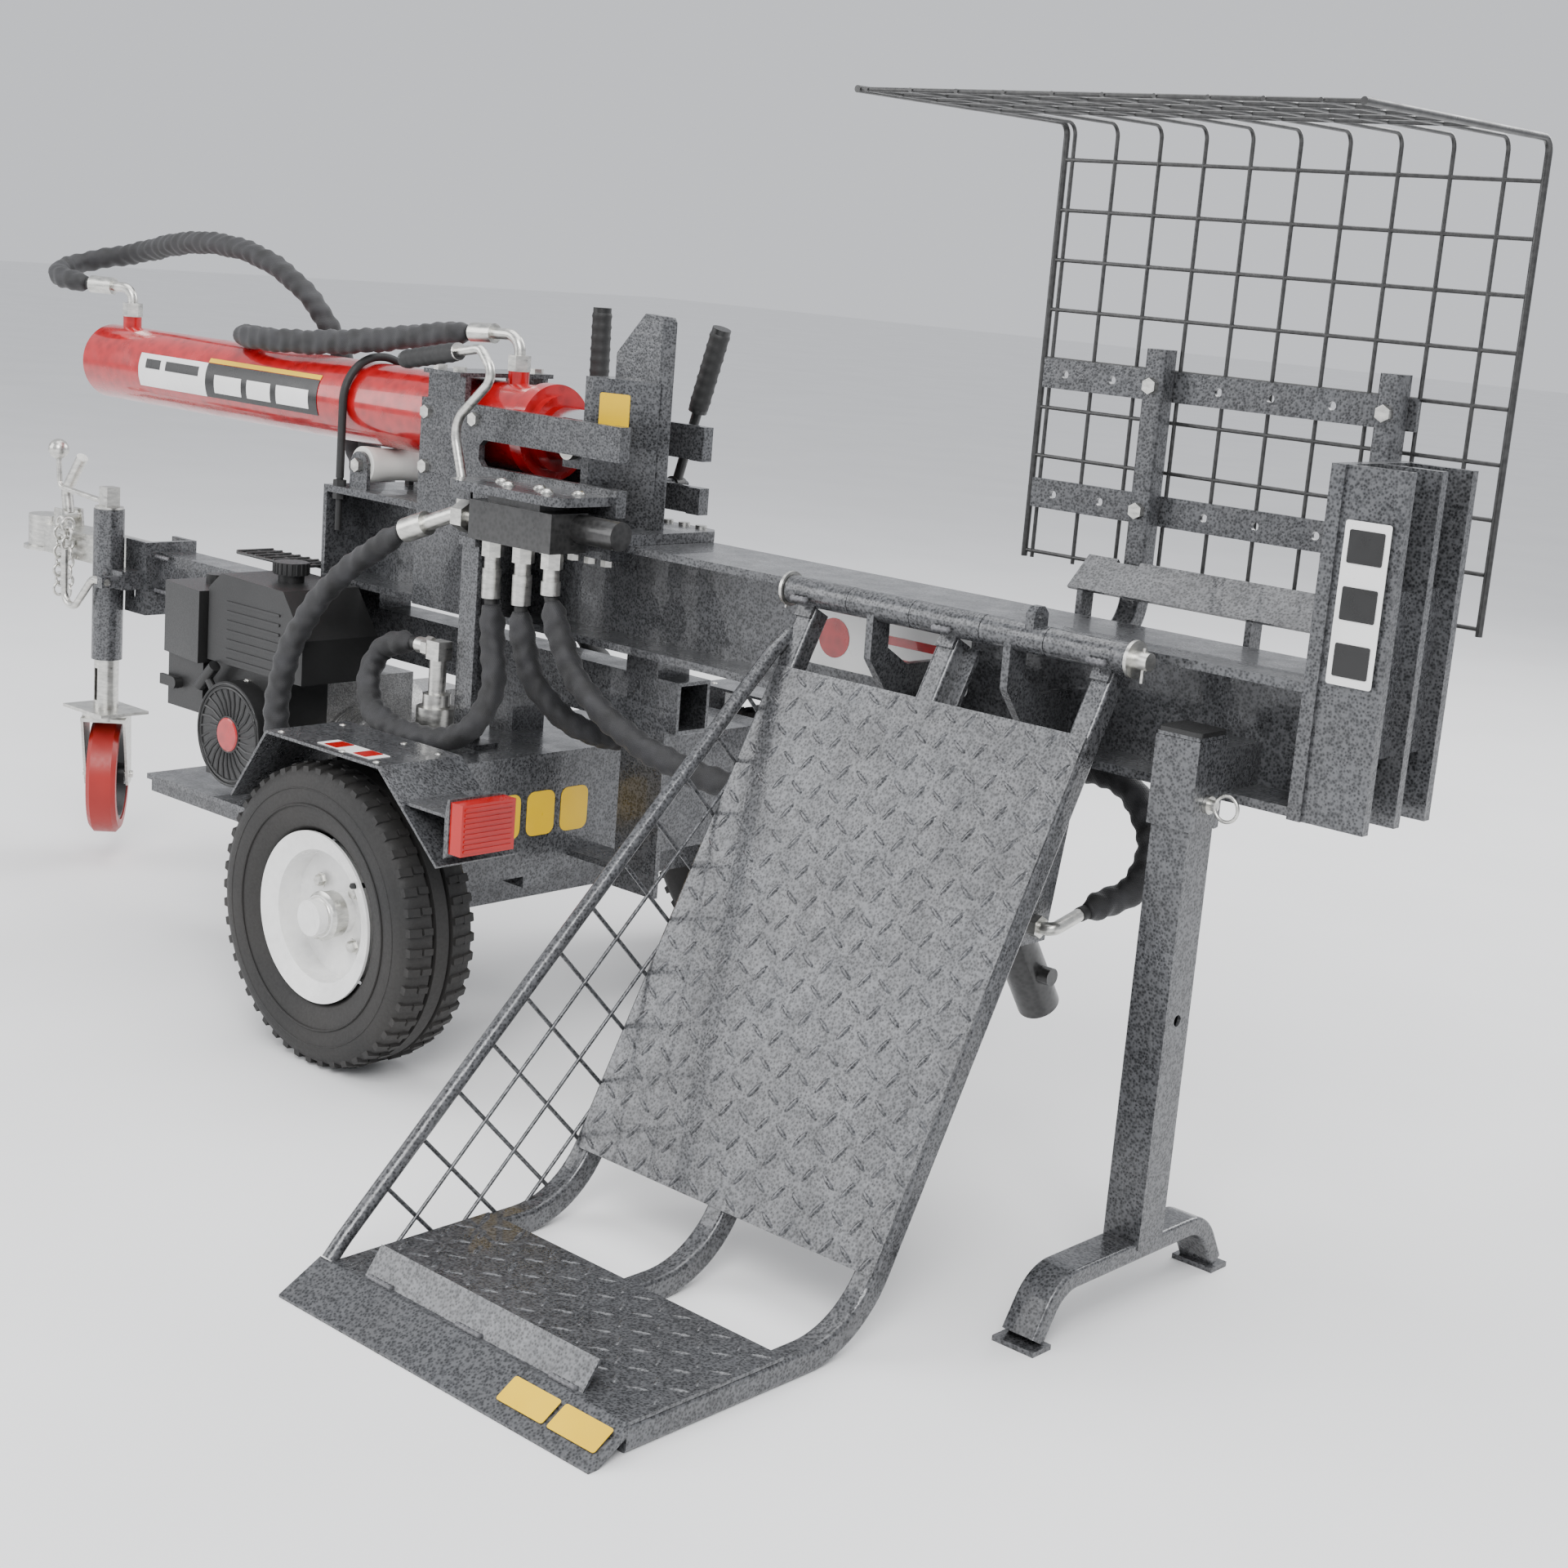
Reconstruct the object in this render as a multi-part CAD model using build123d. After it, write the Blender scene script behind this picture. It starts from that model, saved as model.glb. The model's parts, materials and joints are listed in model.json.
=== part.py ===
from build123d import *
import os
from math import cos, pi, radians, sin, sqrt, tan

# Log splitter with a horizontal ram, a tilting log-lift table and a towing chassis.
# Millimetres. X runs along the beam towards the foot plate, Y across it (the log-lift table is on
# the -Y side), Z up from the ground. X = 0 is the foot plate's splitting face while the parts are
# built; the whole set is moved at the end so that the origin is the bottom centre of its box.

# ---- Driving dimensions -------------------------------------------------------------------------
BEAM_LENGTH = 1655
BEAM_TOP = 715
BEAM_HEIGHT = 142
BEAM_HALF = 75
FLANGE = 10
WEB = 10
FOOT_THICK = 16
FOOT_BOTTOM = 570
FOOT_TOP = 942
RIB_DEPTH = 71
RIB_PITCH = 66
RIB_THICK = 12

RAM_Z = 835
BARREL_LEFT = -2335
BARREL_RIGHT = -1240
BARREL_R = 60.5
BORE_R = 51
ROD_R = 25
FIT = 0.05

WEDGE_BACK = -1163
WEDGE_EDGE = -1019
WEDGE_TOP = 922
SLIDE_HALF = 96
SLIDE_LEFT = -1185
SLIDE_RIGHT = -1000
SLIDE_TOP = 729

WHEEL_X = -1224
WHEEL_YS = (-340, 480)
AXLE_MID = 70
TYRE_R = 205
TYRE_HALF = 60
RIM_R = 115
SPINDLE_R = 12.5

TANK_X0, TANK_X1 = -1335, -1130
TANK_HALF = 302
TANK_Z0, TANK_Z1 = 243, 413

TONGUE_LEFT = -2150
TONGUE_RIGHT = -940
TONGUE_Z0, TONGUE_Z1 = 470, 540
TONGUE_HALF = 30

JOCKEY_X, JOCKEY_Y = -2217, -80
JOCKEY_LIFT = 50
CASTER_TRAIL = 42
CASTER_R = 100
CASTER_AZIMUTH = 140

ENGINE_X = -1655
ENGINE_Y = -60
ENGINE_BASE = 250
CRANK_Z = 350

HINGE_Y, HINGE_Z = -117, 711
HINGE_R = 17
HINGE_PIN_R = 10
HINGE_CUTS = (-676, -577, -482, -380, -291, -183)
TABLE_LEAN = 27.4
TABLE_X0, TABLE_X1 = -672, -192
TUBE = 28
TABLE_BEND = 120
DECK_THICK = 4
LIP_Y = -838

LIFT_X = -380
LIFT_BARREL_R = 26
LIFT_ROD_R = 13
LIFT_LEAN = 35
LIFT_FOOT_Y, LIFT_FOOT_Z = 60, 238
LIFT_LENGTH = 330
LIFT_PIVOT_AT = 150
LIFT_EYE_AT = 370

LEG_X, LEG_Y = -107, -104
LEG_OUT = 55
LEG_IN = 47
SLEEVE_Z0, SLEEVE_Z1 = 544, 641
LEG_BAR_Z = 77

GUARD_Y = 185
GUARD_X0, GUARD_X1 = -561, 59
GUARD_Z0, GUARD_TOP = 764, 1284
GUARD_ROOF_Y = -208
GUARD_PITCH = 59.5
GUARD_ROD_R = 4
WIRE_R = 2.5

VALVE_PLATE_TOP = 775
VALVE_X0, VALVE_X1 = -1212, -1050
VALVE_Y0, VALVE_Y1 = -172, -108
VALVE_Z0, VALVE_Z1 = 700, 752
VALVE_PORTS = ((-1185, -150, 78), (-1124, -150, 78), (-1068, -150, 56))
SPOOL_Y, SPOOL_Z = -120, 732
INLET_Y, INLET_Z = -152, 724
INLET_END = (-1352, -164, 690)
LEVER_X, LEVER_Y, LEVER_Z = -1272, -132, 752
LEVER_R = 6.5
FAR_LEVERS = ((-1276, 112, -1), (-1112, 112, 17))

ROLLER_X, ROLLER_Z = -1590, 750
STRAP_X, STRAP_HALF = -1628, 67
REAR_PORT_X, FRONT_PORT_X = -2285, -1322
ROD_END_X = -1160
PIN_R = 9.5
BRACKET_BOLTS = ((-1412, 846), (-1412, 770), (-1310, 846))
PORT_Z = RAM_Z + BARREL_R + 16
REAR_END = (REAR_PORT_X - 72, -32, PORT_Z + 47)
FRONT_END = (FRONT_PORT_X - 92, -8, PORT_Z + 46)
PUMP_END = (-1560, 140, 350)
RETURN_Z = 540
RETURN_END = (-1304, -170, RETURN_Z)
MANIFOLD = (-1540, 106, 640)
LIFT_PORT = (-312, 26, 372)

POST_XS = (-374, -68)
GUARD_BAR_Y = GUARD_Y - GUARD_ROD_R - 6
PIN_Z = 572
LEG_PIN_R = 6
RAIL_X = -662
MESH_PITCH = 64.6
CASTER_PLATE = 222 + JOCKEY_LIFT
HOSE_R = 9


# ---- Shape helpers ------------------------------------------------------------------------------
def block(x0, x1, y0, y1, z0, z1):
    """Box between two corners."""
    centre = ((x0 + x1) / 2, (y0 + y1) / 2, (z0 + z1) / 2)
    return Pos(*centre) * Box(abs(x1 - x0), abs(y1 - y0), abs(z1 - z0))


def rod(start, end, radius):
    """Round bar between two points."""
    start = Vector(*start)
    along = Vector(*end) - start
    place = Plane(origin=start, z_dir=along.normalized())
    return place * Cylinder(radius, along.length, align=(Align.CENTER, Align.CENTER, Align.MIN))


def pipe(start, end, outer, inner):
    """Round tube between two points."""
    start = Vector(*start)
    end = Vector(*end)
    over = (end - start).normalized()
    return rod(start, end, outer) - rod(start - over, end + over, inner)


def slab(points, thickness):
    """Flat plate: an outline of 3-D points, thickened along the given vector."""
    along = Vector(*thickness)
    outline = make_face(Polyline(*points, close=True))
    return extrude(outline, amount=along.length, dir=along.normalized())


def slab_y(points, y0, y1):
    """Plate with an outline of (x, z) points between two y planes."""
    return slab([(x, y0, z) for x, z in points], (0, y1 - y0, 0))


def slab_x(points, x0, x1):
    """Plate with an outline of (y, z) points between two x planes."""
    return slab([(x0, y, z) for y, z in points], (x1 - x0, 0, 0))


def slab_z(points, z0, z1):
    """Plate with an outline of (x, y) points between two z planes."""
    return slab([(x, y, z0) for x, y in points], (0, 0, z1 - z0))


def ring_y(centre, profile):
    """Solid of revolution about an axis along Y: the profile is (radius, y) points."""
    x, y, z = centre
    outline = make_face(Polyline(*[(x + r, y + s, z) for r, s in profile], close=True))
    return revolve(outline, axis=Axis((x, y, z), (0, 1, 0)))


def hexagon(start, end, across_flats):
    """Hexagonal bar between two points."""
    start = Vector(*start)
    along = Vector(*end) - start
    place = Plane(origin=start, z_dir=along.normalized())
    outline = place * RegularPolygon(across_flats / sqrt(3), 6)
    return extrude(outline, amount=along.length, dir=along.normalized())


def bolt(head, tip, radius):
    """Hexagon bolt: its head lies outside the first point, its shank ends at the second."""
    head = Vector(*head)
    tip = Vector(*tip)
    along = (tip - head).normalized()
    return hexagon(head - along * radius * 1.3, head, radius * 3.4) + rod(head, tip, radius)


def bent_rod(points, bends, radius):
    """Round bar along straight runs joined by tangent arcs."""
    path = FilletPolyline(*points, radius=bends)
    start = Plane(origin=path @ 0, z_dir=path % 0)
    return sweep(start * Circle(radius), path=path)


def bent_square(points, bend, side_x, side):
    """Rectangular bar in a plane of constant x, along runs joined by arcs."""
    path = FilletPolyline(*points, radius=bend)
    start = Plane(origin=path @ 0, x_dir=(1, 0, 0), z_dir=path % 0)
    return sweep(start * RectangleRounded(side_x, side, min(side_x, side) * 0.18), path=path)


def hose_radii(points):
    """Arc radii of a hose: each arc is as large as its two runs allow."""
    spots = [Vector(*p) for p in points]
    radii = []
    for before, here, after in zip(spots, spots[1:], spots[2:]):
        arriving = here - before
        leaving = after - here
        turn = radians(arriving.get_angle(leaving))
        radii.append(0.45 * min(arriving.length, leaving.length) / tan(turn / 2))
    return radii


def hose(name, points, radius):
    """Flexible hose along a route of hand-picked points; prints its bends and its length."""
    radii = hose_radii(points)
    path = FilletPolyline(*points, radius=radii)
    start = Plane(origin=path @ 0, z_dir=path % 0)
    tube = sweep(start * Circle(radius), path=path)
    print(name, "radii", [round(r) for r in radii], "length", round(path.length),
          "volume ratio", round(tube.volume / (path.length * pi * radius * radius), 4))
    return tube


def on_table(x, along, out):
    """Point of the log-lift table: distance down its slope from the hinge, and in front of it."""
    lean = radians(TABLE_LEAN)
    y = HINGE_Y - sin(lean) * along - cos(lean) * out
    z = HINGE_Z - cos(lean) * along + sin(lean) * out
    return (x, y, z)


def on_lift(x, along, aside=0):
    """Point of the lift cylinder: distance up its axis from its closed end."""
    lean = radians(LIFT_LEAN)
    y = LIFT_FOOT_Y - sin(lean) * along - cos(lean) * aside
    z = LIFT_FOOT_Z + cos(lean) * along - sin(lean) * aside
    return (x, y, z)


# ---- Beam, foot plate and what is welded to them --------------------------------------------------
def main_beam():
    bottom = BEAM_TOP - BEAM_HEIGHT
    inner_low = bottom + FLANGE
    inner_high = BEAM_TOP - FLANGE
    beam = block(-BEAM_LENGTH, 0, -BEAM_HALF, BEAM_HALF, inner_high, BEAM_TOP)
    beam += block(-BEAM_LENGTH, 0, -BEAM_HALF, BEAM_HALF, bottom, inner_low)
    beam += block(-BEAM_LENGTH, 0, -WEB / 2, WEB / 2, inner_low, inner_high)
    beam += block(-BEAM_LENGTH, -BEAM_LENGTH + 8, -BEAM_HALF, BEAM_HALF, inner_low, inner_high)
    for y in (-60, 60):
        beam += roller_ear(y)
    beam -= rod((-371, 60, BEAM_TOP + 1), (-371, 60, inner_high - 1), 5)
    for y in (-STRAP_HALF, STRAP_HALF):
        beam -= rod((STRAP_X, y, BEAM_TOP + 1), (STRAP_X, y, inner_high - 1), 5.2)
    return beam


def roller_ear(y):
    ear = block(ROLLER_X - 20, ROLLER_X + 20, y - 3, y + 3, BEAM_TOP, ROLLER_Z)
    ear += rod((ROLLER_X, y - 3, ROLLER_Z), (ROLLER_X, y + 3, ROLLER_Z), 20)
    return ear - rod((ROLLER_X, y - 4, ROLLER_Z), (ROLLER_X, y + 4, ROLLER_Z), 6)


def barrel_roller():
    profile = [(6.05, -56), (27, -56), (27, -48), (24, -20), (23.5, 0), (24, 20), (27, 48), (27, 56),
               (6.05, 56)]
    return ring_y((ROLLER_X, 0, ROLLER_Z), profile)


def roller_bolt():
    shank = rod((ROLLER_X, -63, ROLLER_Z), (ROLLER_X, 63, ROLLER_Z), 5.95)
    head = hexagon((ROLLER_X, -71, ROLLER_Z), (ROLLER_X, -63.05, ROLLER_Z), 18)
    nut = hexagon((ROLLER_X, 63.05, ROLLER_Z), (ROLLER_X, 73, ROLLER_Z), 18)
    return shank + head + nut


def barrel_strap():
    """Rubber-covered hoop over the barrel, with nuts above and below the beam's flange."""
    rise = RAM_Z + 2
    hoop_r = STRAP_HALF
    hoop = bent_rod([(STRAP_X, -hoop_r, BEAM_TOP + 12), (STRAP_X, -hoop_r, rise + hoop_r),
                     (STRAP_X, hoop_r, rise + hoop_r), (STRAP_X, hoop_r, BEAM_TOP + 12)], hoop_r * 0.98, 6)
    parts = [hoop]
    for y in (-STRAP_HALF, STRAP_HALF):
        stud = rod((STRAP_X, y, BEAM_TOP + 12), (STRAP_X, y, 650), 5)
        stud += hexagon((STRAP_X, y, BEAM_TOP + 0.02), (STRAP_X, y, BEAM_TOP + 9), 17)
        stud += hexagon((STRAP_X, y, BEAM_TOP - FLANGE - 9), (STRAP_X, y, BEAM_TOP - FLANGE - 0.02), 17)
        parts.append(stud)
    return parts


def foot_plate():
    """Foot plate with three ribs behind it and two rows of cross plates between them."""
    plate = block(0, FOOT_THICK, -BEAM_HALF - 1, BEAM_HALF + 1, FOOT_BOTTOM, FOOT_TOP)
    for k in (-1, 0, 1):
        y = k * RIB_PITCH
        far = FOOT_THICK + RIB_DEPTH
        plate += block(FOOT_THICK, far, y - RIB_THICK / 2, y + RIB_THICK / 2, FOOT_BOTTOM, FOOT_TOP)
    for k in (-1, 1):
        y = k * RIB_PITCH / 2
        half = (RIB_PITCH - RIB_THICK) / 2
        plate += block(60, 70, y - half, y + half, 643, 818)
    return plate


def hinge_lugs():
    """Two plates that stand out of the web, each with a fixed piece of the lift table's hinge tube."""
    low = BEAM_TOP - BEAM_HEIGHT + FLANGE
    outline = [(-WEB / 2, low), (-WEB / 2, 640), (-62, 640), (-100, 662), (-101, HINGE_Z),
               (HINGE_Y, HINGE_Z), (-132, HINGE_Z - 4), (-131, 650), (-76, low)]
    lugs = []
    for left, right, plate_x in ((HINGE_CUTS[1], HINGE_CUTS[2], -540), (HINGE_CUTS[3], HINGE_CUTS[4], -340)):
        lug = slab_x(outline, plate_x - 5, plate_x + 5)
        lug += rod((left + 0.5, HINGE_Y, HINGE_Z), (right - 0.5, HINGE_Y, HINGE_Z), HINGE_R)
        if plate_x == -340:
            lug += slab_x([(-130, 708), (-104, 708), (-104, 740), (-112, 748), (-124, 748), (-130, 740)],
                          -320, -308)
            lug -= rod((-330, HINGE_Y, 736), (-300, HINGE_Y, 736), 5)
        lug -= rod((left, HINGE_Y, HINGE_Z), (right, HINGE_Y, HINGE_Z), HINGE_PIN_R + FIT)
        lugs.append(lug)
    return lugs


def hinge_pin():
    """Hinge shaft with a washer and a cotter at each end."""
    left, right = HINGE_CUTS[0], HINGE_CUTS[-1]
    pin = rod((left - 14, HINGE_Y, HINGE_Z), (right + 22, HINGE_Y, HINGE_Z), HINGE_PIN_R)
    pin += rod((left - 4.5, HINGE_Y, HINGE_Z), (left - 0.5, HINGE_Y, HINGE_Z), 21)
    pin += rod((right + 0.5, HINGE_Y, HINGE_Z), (right + 4.5, HINGE_Y, HINGE_Z), 21)
    for x in (left - 9, right + 13):
        pin += rod((x, HINGE_Y, HINGE_Z - 24), (x, HINGE_Y, HINGE_Z + 14), 2)
    return pin


def leg_sleeve():
    """Square socket for the leg, its stub to the web and its plastic cap."""
    half = LEG_OUT / 2
    hole = LEG_IN / 2 + 0.4
    socket = block(LEG_X - half, LEG_X + half, LEG_Y - half, LEG_Y + half, SLEEVE_Z0, SLEEVE_Z1)
    socket -= block(LEG_X - hole, LEG_X + hole, LEG_Y - hole, LEG_Y + hole, SLEEVE_Z0 - 1, SLEEVE_Z1 + 1)
    stub_z = BEAM_TOP - BEAM_HEIGHT + FLANGE
    socket += block(LEG_X - half, LEG_X + half, LEG_Y + half, -WEB / 2, stub_z, 630)
    socket += block(LEG_X - half, LEG_X + half, LEG_Y + half, -BEAM_HALF, stub_z - FLANGE, stub_z)
    socket -= rod((LEG_X, LEG_Y, PIN_Z), (LEG_X + half + 1, LEG_Y, PIN_Z), LEG_PIN_R + FIT)
    return socket


def leg_cap():
    """Plastic plug in the leg's top end, resting on the socket."""
    half = LEG_OUT / 2 - 1
    low = SLEEVE_Z1 + 0.3
    return block(LEG_X - half, LEG_X + half, LEG_Y - half, LEG_Y + half, low, low + 4)


def leg_pin():
    """Ring pin; its tip lies flush in the socket's wall."""
    face = LEG_X + LEG_OUT / 2
    inner = LEG_X + LEG_IN / 2 + 0.4
    pin = rod((inner, LEG_Y, PIN_Z), (face + 12, LEG_Y, PIN_Z), LEG_PIN_R)
    pin += rod((face + 0.3, LEG_Y, PIN_Z), (face + 5, LEG_Y, PIN_Z), 10)
    pin += Pos(face + 24, LEG_Y, PIN_Z) * Rot(90, 0, 0) * Torus(14, 2)
    return pin


def support_leg():
    """Square leg on a curved two-footed bar."""
    half = LEG_IN / 2
    leg = block(LEG_X - half, LEG_X + half, LEG_Y - half, LEG_Y + half, LEG_BAR_Z - 8, SLEEVE_Z1 + 0.3)
    bore = half - 4
    leg -= block(LEG_X - bore, LEG_X + bore, LEG_Y - bore, LEG_Y + bore, LEG_BAR_Z + 4, SLEEVE_Z1 + 1)
    leg -= rod((LEG_X, LEG_Y, 330), (LEG_X + LEG_OUT, LEG_Y, 330), LEG_PIN_R + 0.5)
    near, far = -298, 46
    arch = [(LEG_X, near, 10), (LEG_X, near + 34, LEG_BAR_Z - 11), (LEG_X, far - 34, LEG_BAR_Z - 11),
            (LEG_X, far, 10)]
    leg += bent_square(arch, 52, 44, 22)
    for y in (near, far):
        leg += block(LEG_X - 27, LEG_X + 27, y - 16, y + 16, 0, 6)
    return leg


# ---- Ram ------------------------------------------------------------------------------------------
def cylinder_barrel():
    """Barrel with a closed rear end, a lifting tab and two port bosses; the gland is its second solid."""
    barrel = pipe((BARREL_LEFT + 16, 0, RAM_Z), (BARREL_RIGHT, 0, RAM_Z), BARREL_R, BORE_R)
    barrel += rod((BARREL_LEFT, 0, RAM_Z), (BARREL_LEFT + 18, 0, RAM_Z), BARREL_R)
    barrel += block(BARREL_LEFT - 22, BARREL_LEFT + 1, -4, 4, RAM_Z - 12, RAM_Z + 12)
    for x in (REAR_PORT_X, FRONT_PORT_X):
        barrel += rod((x, 0, RAM_Z + BORE_R + 2), (x, 0, RAM_Z + BARREL_R + 16), 15)
        barrel -= rod((x, 0, RAM_Z + BORE_R - 4), (x, 0, RAM_Z + BARREL_R + 17), 8)
    barrel += pipe((BARREL_RIGHT - 22, 0, RAM_Z), (BARREL_RIGHT, 0, RAM_Z), BARREL_R + 6, BARREL_R - 1)
    gland = pipe((BARREL_RIGHT - 34, 0, RAM_Z), (BARREL_RIGHT, 0, RAM_Z), BORE_R, ROD_R + FIT)
    gland += pipe((BARREL_RIGHT, 0, RAM_Z), (BARREL_RIGHT + 12, 0, RAM_Z), BARREL_R - 8, ROD_R + FIT)
    return [barrel, gland]


def piston_rod():
    """Chromed rod with its piston and the clevis eye that the wedge is pinned to."""
    piston_left = BARREL_LEFT + 22
    ram = rod((piston_left, 0, RAM_Z), (piston_left + 34, 0, RAM_Z), BORE_R - FIT)
    ram += rod((piston_left + 34, 0, RAM_Z), (BARREL_RIGHT + 20, 0, RAM_Z), ROD_R)
    return ram


def rod_eye():
    eye = rod((BARREL_RIGHT + 20, 0, RAM_Z), (ROD_END_X + 16, 0, RAM_Z), 37)
    eye &= block(BARREL_RIGHT, 0, -26, 26, RAM_Z - 40, RAM_Z + 40) + rod(
        (BARREL_RIGHT + 20, 0, RAM_Z), (BARREL_RIGHT + 42, 0, RAM_Z), 37)
    return eye - rod((ROD_END_X, -40, RAM_Z - 12), (ROD_END_X, 40, RAM_Z - 12), PIN_R)


def wedge():
    """Spreader with a tall splitting blade, standing on the slide plate that hugs the top flange."""
    half = [(WEDGE_BACK + 40, 45), (WEDGE_EDGE - 42, 20), (WEDGE_EDGE - 14, 8)]
    outline = [(WEDGE_BACK + 26, -45), (WEDGE_BACK + 26, 45)] + half
    outline += [(x, -y) for x, y in reversed(half)]
    body = slab_z(outline, SLIDE_TOP, WEDGE_TOP)
    blade = [(WEDGE_EDGE - 102, 0, SLIDE_TOP), (WEDGE_EDGE, 0, SLIDE_TOP), (WEDGE_EDGE, 0, 1002),
             (WEDGE_EDGE - 6, 0, 1008), (WEDGE_EDGE - 52, 0, 1010), (WEDGE_EDGE - 102, 0, 955)]
    plate = slab([(x, -7, z) for x, y, z in blade], (0, 14, 0))
    for side in (-1, 1):
        plate -= slab_z([(WEDGE_EDGE + 1, side * 8), (WEDGE_EDGE - 22, side * 8), (WEDGE_EDGE + 1, side * 0.6)],
                        SLIDE_TOP - 1, 1020)
    body += plate
    for side in (-1, 1):
        inner, outer = sorted((side * 28, side * 40))
        body += slab_y([(WEDGE_BACK - 16, RAM_Z - 38), (WEDGE_BACK + 28, RAM_Z - 38),
                        (WEDGE_BACK + 28, RAM_Z + 30), (WEDGE_BACK - 16, RAM_Z + 14)], inner, outer)
    body -= rod((ROD_END_X, -50, RAM_Z - 12), (ROD_END_X, 50, RAM_Z - 12), PIN_R)
    return body


def slide_plate():
    """Slide plate over the flange with a spacer and a keeper strip under each edge."""
    corner = 16
    outline = [(SLIDE_LEFT, -SLIDE_HALF), (SLIDE_RIGHT, -SLIDE_HALF), (SLIDE_RIGHT, SLIDE_HALF - corner),
               (SLIDE_RIGHT - corner, SLIDE_HALF), (SLIDE_LEFT, SLIDE_HALF)]
    slide = slab_z(outline, BEAM_TOP + 0.3, SLIDE_TOP)
    for side in (-1, 1):
        low, high = sorted((side * (BEAM_HALF + 0.4), side * SLIDE_HALF))
        slide += block(SLIDE_LEFT, SLIDE_RIGHT - corner, low, high, BEAM_TOP - FLANGE - 0.3, BEAM_TOP + 0.3)
        low, high = sorted((side * (BEAM_HALF - 14), side * SLIDE_HALF))
        slide += block(SLIDE_LEFT, SLIDE_RIGHT - corner, low, high, BEAM_TOP - FLANGE - 12.3,
                       BEAM_TOP - FLANGE - 0.3)
    return slide


def wedge_fasteners():
    """Wedge pin with its cotter, and the slide plate's dome-headed bolts with nuts below."""
    pin = rod((ROD_END_X, -44, RAM_Z - 12), (ROD_END_X, 44, RAM_Z - 12), PIN_R)
    pin += rod((ROD_END_X, -52, RAM_Z - 12), (ROD_END_X, -40, RAM_Z - 12), 15)
    pieces = [pin]
    keeper_low = BEAM_TOP - FLANGE - 12.3
    for x in (-1160, -1128, -1096, -1064, -1032):
        for y in (-86, 86):
            bottom = hexagon((x, y, keeper_low - 9), (x, y, keeper_low), 15)
            dome = Pos(x, y, SLIDE_TOP) * Cylinder(8, 4, align=(Align.CENTER, Align.CENTER, Align.MIN))
            pieces += [bottom, dome]
    return pieces


def bracket_side(side):
    """One side plate of the ram bracket, with two stripper arms towards the wedge."""
    low = BEAM_TOP - BEAM_HEIGHT
    outline = [(-1427, low), (-1250, low), (-1250, 748), (-1022, 748), (-1022, 784), (-1290, 784),
               (-1298, 792), (-1298, 812), (-1290, 820), (-1022, 820), (-1022, 866), (-1425, 866)]
    inner, outer = sorted((side * (BEAM_HALF + 1), side * (BEAM_HALF + 11)))
    plate = slab_y(outline, inner, outer)
    for z0, z1 in ((748, 784), (820, 866)):
        y0, y1 = sorted((side * 68, side * (BEAM_HALF + 1)))
        plate += block(-1046, -1022, y0, y1, z0, z1)
    for x, z in BRACKET_BOLTS:
        plate -= rod((x, side * 60, z), (x, side * 100, z), 5)
    return plate


def ram_bracket():
    """Side plates, top plate and the cross block that carries the barrel."""
    cross = block(-1420, -1392, -BEAM_HALF - 1, BEAM_HALF + 1, BEAM_TOP + 0.1, 866)
    cross -= rod((-1430, 0, RAM_Z), (-1380, 0, RAM_Z), BARREL_R + 0.3)
    cross -= block(-1430, -1380, -2, 2, RAM_Z + 50, 870)
    top = block(-1424, -1345, -BEAM_HALF - 11, BEAM_HALF + 11, 900, 906)
    rails = []
    for side in (-1, 1):
        y0, y1 = sorted((side * 66, side * (BEAM_HALF + 1)))
        rails.append(block(-1424, -1345, y0, y1, 866.05, 899.98))
    for side in (-1, 1):
        y = side * 71
        for x in (-1406, -1364):
            top -= rod((x, y, 890), (x, y, 910), 5)
    return [bracket_side(-1), bracket_side(1), cross, top] + rails


def bracket_bolts():
    """Bolts through the side plates and the top plate, and the ring pin on the top plate."""
    pieces = []
    for side in (-1, 1):
        for x, z in BRACKET_BOLTS:
            pieces.append(bolt((x, side * (BEAM_HALF + 11), z), (x, side * (BEAM_HALF + 1), z), 4.95))
        for x in (-1406, -1364):
            pieces.append(bolt((x, side * 71, 906), (x, side * 71, 900), 4.95))
    return pieces


# ---- Guard, shelf and their posts ------------------------------------------------------------------
def guard_mesh():
    """Welded mesh of bars with a back panel and a roof that reaches over the beam."""
    side_r = GUARD_ROD_R
    roof_z = GUARD_TOP
    mesh = None
    columns = [(GUARD_X0, side_r), (GUARD_X1, side_r)]
    columns += [(GUARD_X0 + 12 + k * (GUARD_PITCH + 3), WIRE_R) for k in range(10)]
    for x, r in columns:
        bar = bent_rod([(x, GUARD_Y, GUARD_Z0 - 8), (x, GUARD_Y, roof_z), (x, GUARD_ROOF_Y, roof_z)], 16, r)
        mesh = bar if mesh is None else mesh + bar
    rows = [(GUARD_Y, GUARD_Z0 + k * GUARD_PITCH) for k in range(9)]
    rows += [(GUARD_ROOF_Y + 4 + k * GUARD_PITCH, roof_z) for k in range(5)]
    for y, z in rows:
        mesh += rod((GUARD_X0, y, z), (GUARD_X1, y, z), WIRE_R)
    return mesh


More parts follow.
